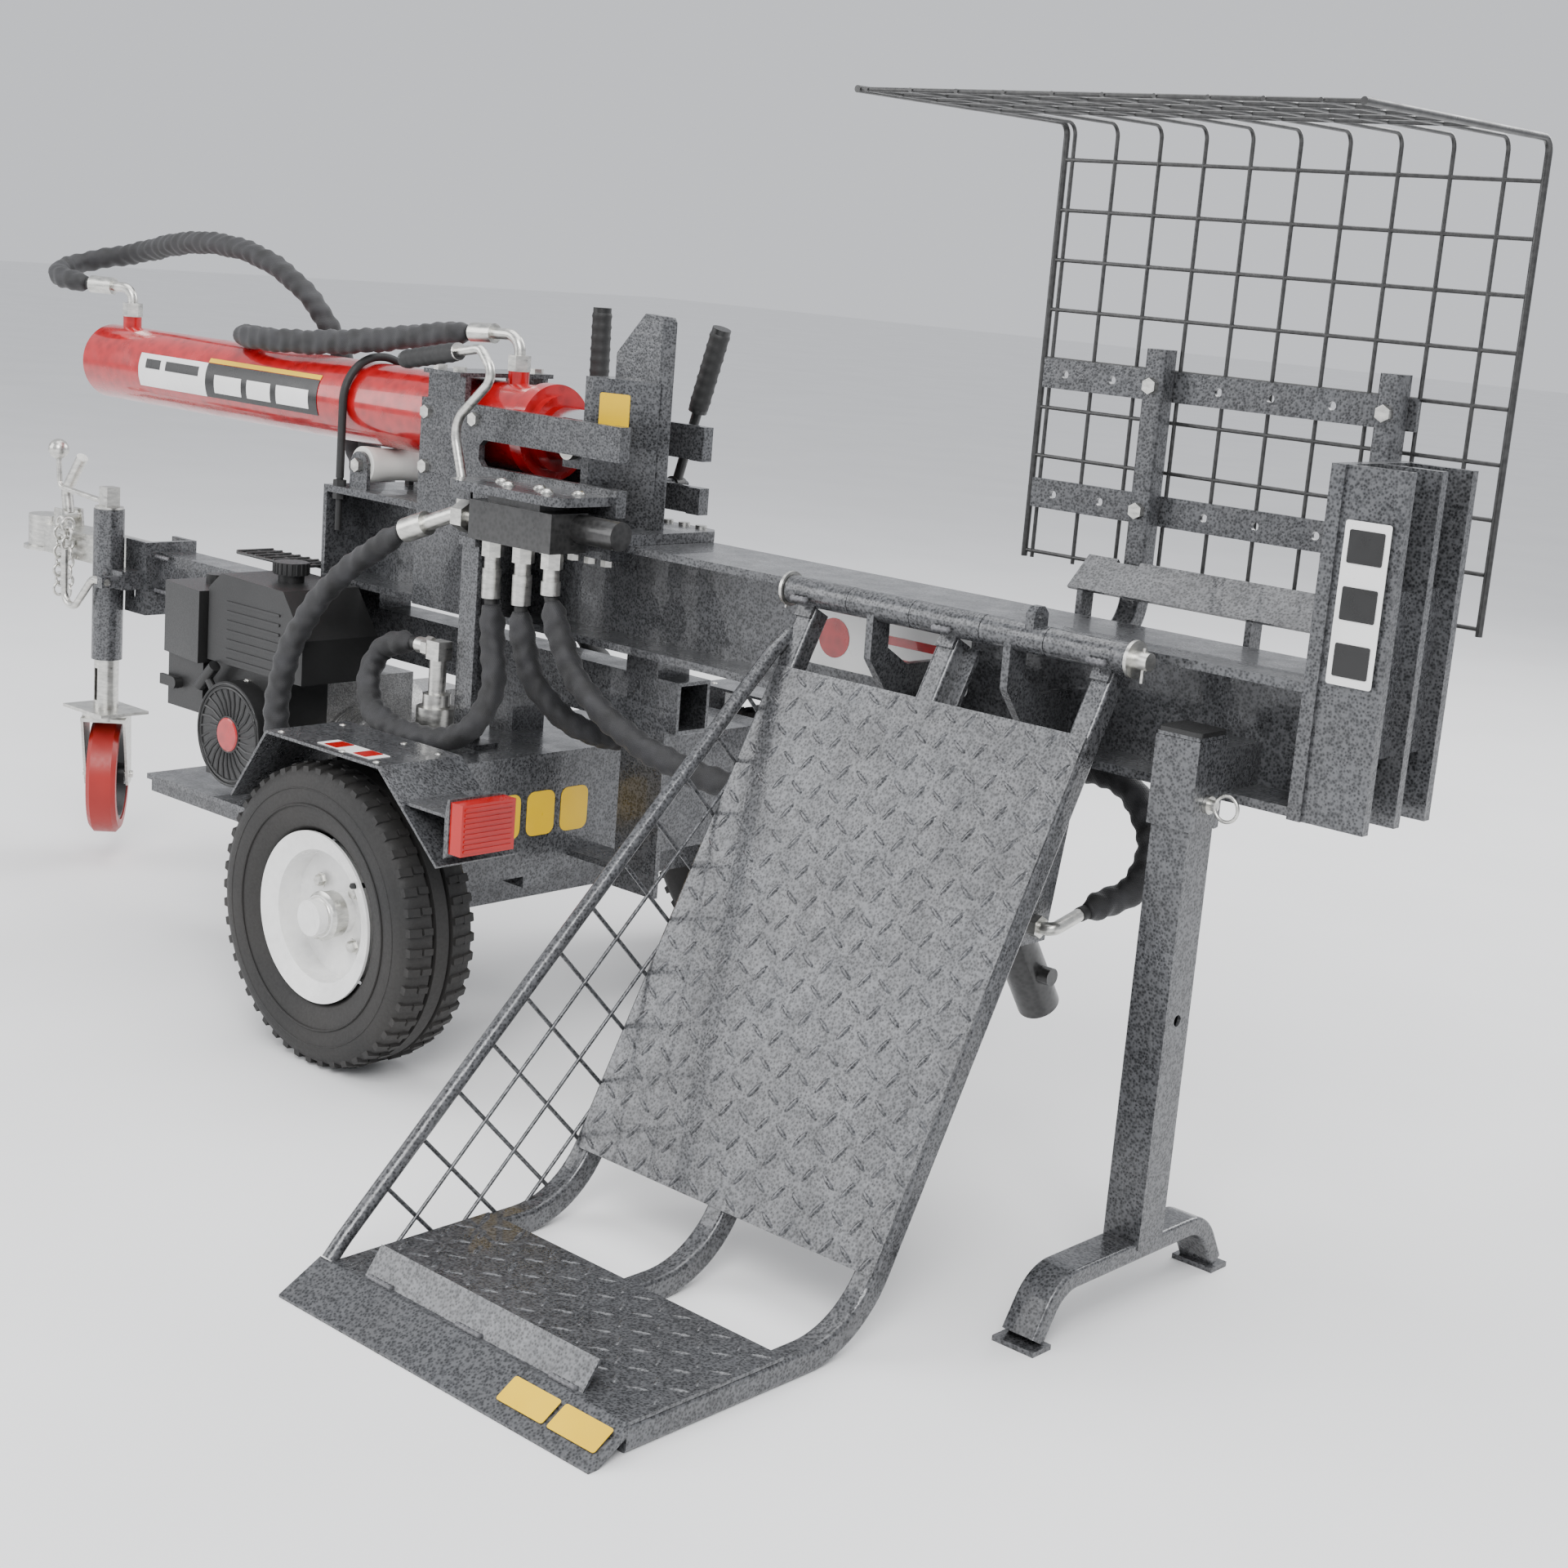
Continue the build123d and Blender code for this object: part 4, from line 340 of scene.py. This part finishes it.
# ---- Camera -------------------------------------------------------------------------------------
cam_data = bpy.data.cameras.new("camera")
SENSOR_MM, FOCAL_PX, PHOTO_WIDTH_PX = 36, 2929.9, 1920
cam_data.sensor_width = SENSOR_MM
cam_data.lens = FOCAL_PX * SENSOR_MM / PHOTO_WIDTH_PX
cam = bpy.data.objects.new("camera", cam_data)
bpy.context.scene.collection.objects.link(cam)
az, el, roll = math.radians(41.448), math.radians(12.616), math.radians(4.692)
back = Vector((math.sin(az) * math.cos(el), -math.cos(az) * math.cos(el), math.sin(el)))
right = Vector((math.cos(az), math.sin(az), 0))
upward = back.cross(right)
cam_r = right * math.cos(roll) + upward * math.sin(roll)
cam_u = upward * math.cos(roll) - right * math.sin(roll)
spin = Matrix((cam_r, cam_u, back)).transposed().to_4x4()
cam.matrix_world = Matrix.Translation(at(1221.9, -2253.6, 1110.0)) @ spin
bpy.context.scene.camera = cam

# ---- Hoses: centreline splines with their nylon sleeves -------------------------------------------
HOSE_RADIUS, SLEEVE_RADIUS = 0.009, 0.0168
# Middle of the guessed manifold block where the ram's hoses end.
MX, MY, MZ = -1540, 106, 640
ROUTES = {
    "hose_ram_rear": [(-2357, -32, 958.5), (-2404, -52, 960), (-2466, -34, 972), (-2492, 28, 988), (-2456, 88, 1004),
                      (-2386, 100, 1018), (-2290, 84, 1034), (-2160, 70, 1044), (-2020, 70, 1030), (-1910, 90, 970),
                      (-1850, 112, 870), (-1812, 122, 770), (-1752, 116, 690), (-1692, MY, MZ + 20),
                      (MX - 96, MY, MZ + 20)],
    "hose_ram_front": [(-1414, -8, 957.5), (-1480, -14, 950), (-1600, -26, 930), (-1740, -40, 914), (-1850, -54, 910),
                       (-1926, -42, 910), (-1956, 26, 908), (-1924, 92, 888), (-1860, 112, 820), (-1820, 114, 734),
                       (-1770, 112, 656), (-1700, MY, MZ - 20), (MX - 96, MY, MZ - 20)],
    "hose_inlet": [(-1352, -164, 690), (-1400, -172, 662), (-1470, -200, 600), (-1506, -238, 512), (-1512, -256, 410),
                   (-1490, -254, 320), (-1440, -222, 268), (-1422, -140, 262), (-1426, -40, 272), (-1440, 60, 300),
                   (-1486, 126, 336), (-1560, 140, 350)],
    "hose_return": [(-1185, -150, 622), (-1174, -150, 558), (-1146, -168, 490), (-1166, -206, 436), (-1232, -222, 426),
                    (-1308, -218, 430), (-1368, -204, 448), (-1390, -186, 496), (-1366, -172, 538),
                    (-1304, -170, 540)],
    "hose_far": [(-1124, -150, 622), (-1120, -148, 560), (-1100, -120, 490), (-1066, -60, 446), (-1070, 20, 436),
                 (-1110, 92, 446), (-1190, 132, 470), (-1286, 140, 506), (-1330, 136, 582), (-1380, MY + 6, MZ - 4),
                 (MX + 96, MY, MZ)],
    "hose_lift": [(-1068, -150, 644), (-1050, -148, 590), (-1010, -140, 526), (-920, -124, 470), (-800, -100, 442),
                  (-670, -60, 436), (-550, 6, 456), (-460, 62, 500), (-380, 84, 536), (-306, 92, 528),
                  (-266, 100, 468), (-276, 96, 404), (-308, 72, 380), (-312, 26, 372)],
}


def spline_of(name, points, bevel):
    cu = bpy.data.curves.new(name, "CURVE")
    cu.dimensions = "3D"
    sp = cu.splines.new("NURBS")
    sp.points.add(len(points) - 1)
    for p, q in zip(sp.points, points):
        p.co = (*at(*q), 1)
    sp.order_u = 3
    sp.use_endpoint_u = True
    cu.resolution_u = 16
    cu.bevel_depth = bevel
    cu.bevel_resolution = 4
    return cu


for name, points in ROUTES.items():
    plain = bpy.data.objects.new("line_tmp", spline_of("line_tmp", points, 0.0))
    bpy.context.scene.collection.objects.link(plain)
    bpy.context.view_layer.update()
    path_mesh = bpy.data.meshes.new_from_object(plain.evaluated_get(bpy.context.evaluated_depsgraph_get()))
    line = [v.co.copy() for v in path_mesh.vertices]
    bpy.data.objects.remove(plain)
    even = [line[0]]
    step = 0.0045
    left = step
    for a, b in zip(line, line[1:]):
        d = (b - a).length
        while left <= d:
            even.append(a.lerp(b, left / d))
            left += step
        left -= d
    cut = 0.012
    kept = even[int(cut / step):len(even) - int(cut / step)]
    seed = random.random() * 9

    def fold(k, n, a, seed=seed):
        edge = min(1.0, 0.62 + min(k, n - 1 - k) * 0.1)
        wave = 0.07 * math.sin(k * 1.15 + 1.6 * math.sin(a * 2 + seed)) + 0.05 * math.sin(k * 0.37 + a * 3 + seed)
        return edge * (1 + wave) * (1 + 0.05 * math.cos(a * 2 + k * 0.05))

    bm = bmesh.new()
    swept(bm, kept, SLEEVE_RADIUS, 20, fold)
    sleeve = piece("sleeve_" + name, bm, "hose_sleeve", "frame", smooth=80)
    hose = bpy.data.objects.new("rubber_" + name, spline_of("rubber_" + name, points, HOSE_RADIUS))
    bpy.context.scene.collection.objects.link(hose)
    hose.data.materials.append(M["rubber"])
    hose.data.use_fill_caps = True
    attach(hose, "frame")
    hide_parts(name)

# ---- Tyres: crowned carcass with shoulder lugs, grooves and sidewall ribs -------------------------
# The nuts on both wheels are invented: the photo shows none.
TYRE_R = 205
for side, y in (("near", -340), ("far", 480)):
    centre = at(-1224, y, TYRE_R)
    prof = [(-44, 116), (-50, 122), (-57, 145), (-59.5, 165), (-58, 182), (-52, 194), (-44, 198.5), (-30, 200),
            (-17, 200.4), (-16, 194), (-11, 194), (-10, 200.6), (0, 200.8), (10, 200.6), (11, 194), (16, 194),
            (17, 200.4), (30, 200), (44, 198.5), (52, 194), (58, 182), (59.5, 165), (57, 145), (50, 122), (44, 116)]
    steps = 120
    bm = bmesh.new()
    rings = []
    for py, r in prof:
        ring = []
        for k in range(steps):
            a = 2 * math.pi * k / steps
            ring.append(bm.verts.new(centre + Vector((math.cos(a) * r, py, math.sin(a) * r)) / 1000))
        rings.append(ring)
    rings.append(rings[0])
    for ra, rb in zip(rings, rings[1:]):
        for k in range(steps):
            bm.faces.new((ra[k], ra[(k + 1) % steps], rb[(k + 1) % steps], rb[k]))
    carcass = piece("tyre_carcass_" + side, bm, "tyre", "wheel_" + side, smooth=50)
    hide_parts("tyre_" + side)
    bm = bmesh.new()
    for k in range(48):
        a = 2 * math.pi * k / 48
        for s in (-1, 1):
            a2 = a + (0.033 if s > 0 else 0)
            for y0, y1, r0, r1, w in ((18, 33, 196, 204.6, 5.2), (35, 53, 194, 203, 6.4)):
                base = []
                top = []
                for da, yy, rr in ((-w, y0, 0), (w, y0, 0), (w + 1.6, y1, -3 if y1 > 50 else 0),
                                   (-w + 1.6, y1, -3 if y1 > 50 else 0)):
                    ang = a2 + da / TYRE_R
                    d = Vector((math.cos(ang), 0, math.sin(ang)))
                    base.append(bm.verts.new(centre + (d * (r0 + rr) + Vector((0, s * yy, 0))) / 1000))
                    ang = a2 + da * 0.84 / TYRE_R
                    d = Vector((math.cos(ang), 0, math.sin(ang)))
                    top.append(bm.verts.new(centre + (d * (r1 + rr) + Vector((0, s * (yy * 0.985 + 0.3), 0))) / 1000))
                for i in range(4):
                    bm.faces.new((base[i], base[(i + 1) % 4], top[(i + 1) % 4], top[i]))
                bm.faces.new(top)
                bm.faces.new(list(reversed(base)))
    piece("tyre_lugs_" + side, bm, "tyre", "wheel_" + side)
    bm = bmesh.new()
    out = -1 if side == "near" else 1
    for r, h in ((150, 1.6), (172, 1.3)):
        ring = [centre + Vector((math.cos(t) * r, out * 58.5, math.sin(t) * r)) / 1000
                for t in (2 * math.pi * k / 72 for k in range(73))]
        swept(bm, ring, h / 1000, 6)
    piece("tyre_ribs_" + side, bm, "tyre", "wheel_" + side, smooth=60)
    bm = bmesh.new()
    turned(bm, centre + Vector((0, out * 0.018, 0)), (0, out, 0), [(0, 31), (10, 31), (16, 30), (17, 33), (20, 33),
                                                                   (22, 29), (27, 26), (30, 18), (31, 0.5)], 40)
    piece("hub_cap_" + side, bm, "zinc", "wheel_" + side, smooth=35)
    bm = bmesh.new()
    for k in range(4):
        a = math.pi / 4 + k * math.pi / 2
        spot = centre + Vector((math.cos(a) * 0.052, out * 0.012, math.sin(a) * 0.052))
        turned(bm, spot, (0, out, 0), [(0, 11), (2, 11), (2.1, 8), (8, 8), (9.5, 6), (10, 0.5)], 6)
    piece("wheel_nuts_" + side, bm, "zinc", "wheel_" + side, smooth=30)
    bm = bmesh.new()
    turned(bm, centre + Vector((0.07, out * 0.02, 0.055)), (0.25, out, 0.2), [(0, 4.5), (14, 4), (15, 3), (26, 3),
                                                                            (27, 4), (34, 4), (35, 0.5)], 14)
    piece("valve_stem_" + side, bm, "rubber", "wheel_" + side, smooth=35)

# ---- Chequered plates: alternating lens ribs -----------------------------------------------------
lean = math.radians(27.4)
down = Vector((0, -math.sin(lean), -math.cos(lean)))
outward = Vector((0, -math.cos(lean), math.sin(lean)))
hinge = at(0, -117, 711)
bm = bmesh.new()
for i in range(16):
    for j in range(20):
        x = -650 + 14 + i * 28
        along = 108 + j * 31
        spot = Vector(((x + SHIFT.x) / 1000, hinge.y, hinge.z)) + down * along / 1000 - outward * 0.002
        d = Vector((1, 0, 0)) if (i + j) % 2 else down
        diag = (d + (down if (i + j) % 2 else Vector((-1, 0, 0))) * 0.55).normalized()
        lump(bm, spot, (0.0125, 0.0034, 0.0014), diag, outward, 3, 10)
for i in range(16):
    for j in range(6):
        x = -640 + i * 28
        y = -585 - j * 29
        d = Vector((1, 0.55, 0)) if (i + j) % 2 else Vector((-0.55, 1, 0))
        lump(bm, at(x, y, 32), (0.0125, 0.0034, 0.0014), d, (0, 0, 1), 3, 10)
piece("chequer_ribs", bm, "hammertone", "table", smooth=60)

# ---- Weld beads ---------------------------------------------------------------------------------
bm = bmesh.new()
for x in (-580, -440, -300):
    bead(bm, at(x - 20, -779, 33), at(x + 20, -779, 33), 0.0035)
for x0 in (-648, -431, -217):
    bead(bm, at(x0 - 14, -137, 704), at(x0 + 14, -137, 704), 0.004)
piece("table_welds", bm, "weld", "table", 50)
bm = bmesh.new()
for z in (478, 534):
    bead(bm, at(-2149, -36, z), at(-2110, -36, z), 0.0035)
for y in (-60, 60):
    bead(bm, at(-1, y, 716), at(-1, y * 0.2, 716), 0.004)
for s in (-1, 1):
    bead(bm, at(-140, s * 5.5, 707), at(-4, s * 5.5, 707), 0.003)
bead(bm, at(-135, -77, 545), at(-80, -77, 545), 0.004)
piece("frame_welds", bm, "weld", "frame", 50)

# ---- Labels: plain coloured panels with bars and shapes, no lettering ----------------------------
bm = bmesh.new()
plate(bm, at(-620, -5.05, 640), *NEAR, 0.27, 0.075, 0.0005, 0.008)
piece("beam_label", bm, "white_label", "frame")
bm = bmesh.new()
plate(bm, at(-700, -5.6, 640), *NEAR, 0.05, 0.05, 0.0005, 0.0249, 9)
for k, w in enumerate((0.13, 0.09)):
    plate(bm, at(-655 + w * 500 + 10, -5.6, 652 - k * 26), *NEAR, w, 0.011, 0.0005, 0.003)
piece("beam_label_marks", bm, "red_paint", "frame")
bm = bmesh.new()
for x in (-240, -312):
    plate(bm, at(x, -811, 20), (1, 0, 0), (0, -0.85, -0.53), (0, -0.45, 0.89), 0.066, 0.03, 0.0005, 0.003)
piece("lip_labels", bm, "yellow_label", "table")
bm = bmesh.new()
plate(bm, at(-1091.9, -32.8, 872), (0.927, 0.373, 0), (0, 0, 1), (0.373, -0.927, 0), 0.044, 0.062, 0.0005, 0.003)
piece("wedge_label", bm, "yellow_label", "ram")

bm = bmesh.new()
for z, h in ((862, 34), (804, 34), (746, 34)):
    plate(bm, at(51, -77.1, z), *NEAR, 0.04, h / 1000, 0.0006, 0.002)
piece("rib_label_marks", bm, "black_label", "frame")
bm = bmesh.new()
plate(bm, at(51, -76.3, 804), *NEAR, 0.052, 0.168, 0.0006, 0.003)
piece("rib_label", bm, "white_label", "frame")
bm = bmesh.new()
for k in range(3):
    plate(bm, at(-1129.6, -150 + k * 62, 330), (0, 1, 0), (0, 0, 1), (1, 0, 0), 0.05, 0.062, 0.0006, 0.012)
piece("tank_marks", bm, "yellow_label", "frame")
bm = bmesh.new()
plate(bm, at(-1180, -372, 437.2), *TOP, 0.11, 0.034, 0.0006, 0.002)
piece("reflector_white", bm, "white_label", "frame")
bm = bmesh.new()
for k in (-1, 1):
    plate(bm, at(-1180 + k * 30, -372, 437.9), *TOP, 0.026, 0.03, 0.0005, 0.002)
piece("reflector_red", bm, "red_lens", "frame")


def barrel_patch(name, x0, x1, a0, a1, mat, r=60.9):
    """Label wrapped on the ram's barrel, between two angles above the near side."""
    bm = bmesh.new()
    n = 14
    rows = []
    for rr in (r, r + 0.5):
        for x in (x0, x1):
            rows.append([bm.verts.new(at(x, -rr * math.cos(math.radians(a0 + (a1 - a0) * k / n)),
                                         835 + rr * math.sin(math.radians(a0 + (a1 - a0) * k / n))))
                         for k in range(n + 1)])
    for a, b in ((0, 1), (2, 3), (0, 2), (1, 3)):
        for k in range(n):
            bm.faces.new((rows[a][k], rows[a][k + 1], rows[b][k + 1], rows[b][k]))
    for k in (0, n):
        bm.faces.new((rows[0][k], rows[1][k], rows[3][k], rows[2][k]))
    return piece(name, bm, mat, "frame", 40)


barrel_patch("barrel_label_white", -2170, -1985, -24, 26, "white_label")
barrel_patch("barrel_label_black", -1985, -1700, -24, 26, "black_label")
for k, (x, w) in enumerate(((-2150, 40), (-2095, 90))):
    barrel_patch("barrel_bar_%d" % k, x, x + w, 4, 18, "black_label", 61.5)
for k, (x, w) in enumerate(((-1960, 70), (-1875, 60), (-1800, 80))):
    barrel_patch("barrel_panel_%d" % k, x, x + w, -16, 10, "white_label", 61.5)
barrel_patch("barrel_stripe", -1985, -1700, 27, 34, "yellow_label")

# ---- Engine: recoil cover, finned housing and tank mouldings -------------------------------------
# The red disc on the recoil cover and the tank's ribs are invented: the photo does not show them.
ex, ey, ez = -1655, -60, 350
bm = bmesh.new()
for k in range(26):
    a = 2 * math.pi * k / 26
    r0, r1 = 28, 68
    d = Vector((math.cos(a), 0, math.sin(a)))
    e = Vector((math.cos(a + 0.22), 0, math.sin(a + 0.22)))
    c = at(ex, ey - 170, ez)
    line = [c + d * r0 / 1000, c + (d * 0.6 + e * 0.4).normalized() * 0.048, c + e * r1 / 1000]
    swept(bm, line, 0.0021, 6)
for r in (26, 69, 75):
    c = at(ex, ey - 170, ez)
    swept(bm, [c + Vector((math.cos(t), 0, math.sin(t))) * r / 1000 for t in
               (2 * math.pi * k / 60 for k in range(61))], 0.0024, 8)
piece("recoil_grille", bm, "black_plastic", "frame", smooth=45)
bm = bmesh.new()
turned(bm, at(ex, ey - 170, ez), (0, -1, 0), [(0, 25), (2.5, 25), (4, 23), (4.5, 0.5)], 40)
piece("recoil_badge", bm, "red_paint", "frame", smooth=35)
bm = bmesh.new()
for k in range(3):
    a = math.radians(90 + k * 120)
    turned(bm, at(ex + 74 * math.cos(a), ey - 138, ez + 74 * math.sin(a)), (0, -1, 0),
           [(0, 7), (3, 7), (3.1, 5), (7, 5), (8, 0.5)], 6)
piece("recoil_bolts", bm, "zinc", "frame", smooth=30)
bm = bmesh.new()
for k in range(9):
    turned(bm, at(ex + 96 + k * 6, ey - 10, ez - 8), (1, 0, 0), [(0, 50.1), (0.6, 54), (2, 54), (2.6, 50.1)], 48)
piece("housing_fins", bm, "cast_aluminium", "frame", smooth=35)
bm = bmesh.new()
for k in range(7):
    z = 456 + k * 14
    plate(bm, at(ex + 30, ey - 155.1, z), *NEAR, 0.13, 0.004, 0.0016, 0.0019)
piece("tank_ribs", bm, "black_plastic", "frame")
lo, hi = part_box("fuel_cap")
mid = (lo + hi) / 2
bm = bmesh.new()
for k in range(20):
    a = 2 * math.pi * k / 20
    r = (hi.x - lo.x) / 2
    swept(bm, [mid + Vector((math.cos(a) * r, math.sin(a) * r, z)) for z in (-0.008, -0.004, 0.004, 0.008)], 0.0018, 6)
piece("fuel_cap_ribs", bm, "black_plastic", "filler", smooth=45)

# ---- Small fittings ------------------------------------------------------------------------------
bm = bmesh.new()
for x, y in ((-1200, -128), (-1162, -150), (-1124, -128), (-1086, -150), (-1062, -116)):
    turned(bm, at(x, y, 775), (0, 0, 1), [(0, 9.5), (1.4, 9.5), (1.5, 8), (3.4, 7.2), (5, 4.8), (5.6, 0.5)], 24)
piece("valve_plate_bolts", bm, "zinc", "frame", smooth=40)
bm = bmesh.new()
line = [at(-1252 + 0.28 * -156, -132, 946 + 0.28 * -28), at(-1272 - 140, -132, 917)]
line = [line[0].lerp(line[1], t / 20) for t in range(21)]
swept(bm, line, 0.0128, 18, lambda k, n, a: (0.86 if k in (0, n - 1) else 1.0) * (1.06 if k % 3 == 0 else 0.99))
piece("lever_grip", bm, "rubber", "lever", smooth=45)
NODES["control_lever"].data.materials[0] = M["zinc"]
NODES["muffler"].data.materials[0] = M["black_paint"]
for name, lean_deg, x in (("a", -1, -1276), ("b", 17, -1112)):
    a = math.radians(lean_deg)
    start = at(x + 112 * math.sin(a), 112, 776 + 112 * math.cos(a))
    d = Vector((math.sin(a), 0, math.cos(a)))
    bm = bmesh.new()
    swept(bm, [start + d * t * 0.0038 for t in range(31)], 0.0138, 18,
          lambda k, n, ang: (0.82 if k in (0, n - 1) else 1.0) * (1.05 if k % 4 == 0 else 0.98))
    piece("far_grip_" + name, bm, "rubber", "lever_" + name, smooth=45)
bm = bmesh.new()
plate(bm, at(-107, -104, 645.4), *TOP, 0.054, 0.054, 0.005, 0.006)
piece("leg_plug", bm, "black_plastic", "leg")
for y, name in ((-340, "near"), (480, "far")):
    s = 1 if y > 0 else -1
    bm = bmesh.new()
    y0, y1 = sorted((y + s * 54, y - s * 32))
    for k in range(9):
        plate(bm, at(-936, (y0 + y1) / 2, 359 + k * 6.6), (0, 1, 0), (0, 0, 1), (1, 0, 0), (y1 - y0 - 8) / 1000, 0.0042,
              0.0012, 0.002)
    piece("lamp_ribs_" + name, bm, "red_lens", "frame")
    bm = bmesh.new()
    for px in (-1310, -1180, -1110):
        for py in (y - 50, y + 50):
            lump(bm, at(px, py, 437), (0.005, 0.005, 0.0022), (1, 0, 0), (0, 0, 1), 4, 14)
    piece("fender_rivets_" + name, bm, "zinc", "frame", smooth=50)

# ---- Floor and light ------------------------------------------------------------------------------
floor_mat, nt, p = new_mat("floor", grey(0.86), 0.7)
vec = coords(nt)
nt.links.new(ramp(nt, noise(nt, vec, 2, 3), [(0.3, grey(0.84)), (0.7, grey(0.88))]), p.inputs["Base Color"])
bm = bmesh.new()
bmesh.ops.create_grid(bm, x_segments=2, y_segments=2, size=30)
me = bpy.data.meshes.new("floor")
bm.to_mesh(me)
bm.free()
me.materials.append(floor_mat)
floor = bpy.data.objects.new("floor", me)
bpy.context.scene.collection.objects.link(floor)
world = bpy.data.worlds.new("studio")
bpy.context.scene.world = world
world.use_nodes = True
world.node_tree.nodes["Background"].inputs["Color"].default_value = (0.93, 0.95, 1, 1)
world.node_tree.nodes["Background"].inputs["Strength"].default_value = 0.85
for name, loc, size, energy in (("key", (3.5, -3.5, 4.2), 3.0, 330), ("fill", (-3.5, -3.8, 2.6), 3.5, 150),
                                ("top", (0, 0.5, 4.5), 4.0, 150), ("rim", (1.0, 4.5, 3.0), 2.5, 120)):
    data = bpy.data.lights.new(name, "AREA")
    data.size = size
    data.energy = energy
    lamp = bpy.data.objects.new(name, data)
    lamp.location = loc
    lamp.rotation_euler = (Vector((0, 0, 0.5)) - Vector(loc)).to_track_quat("-Z", "Y").to_euler()
    bpy.context.scene.collection.objects.link(lamp)
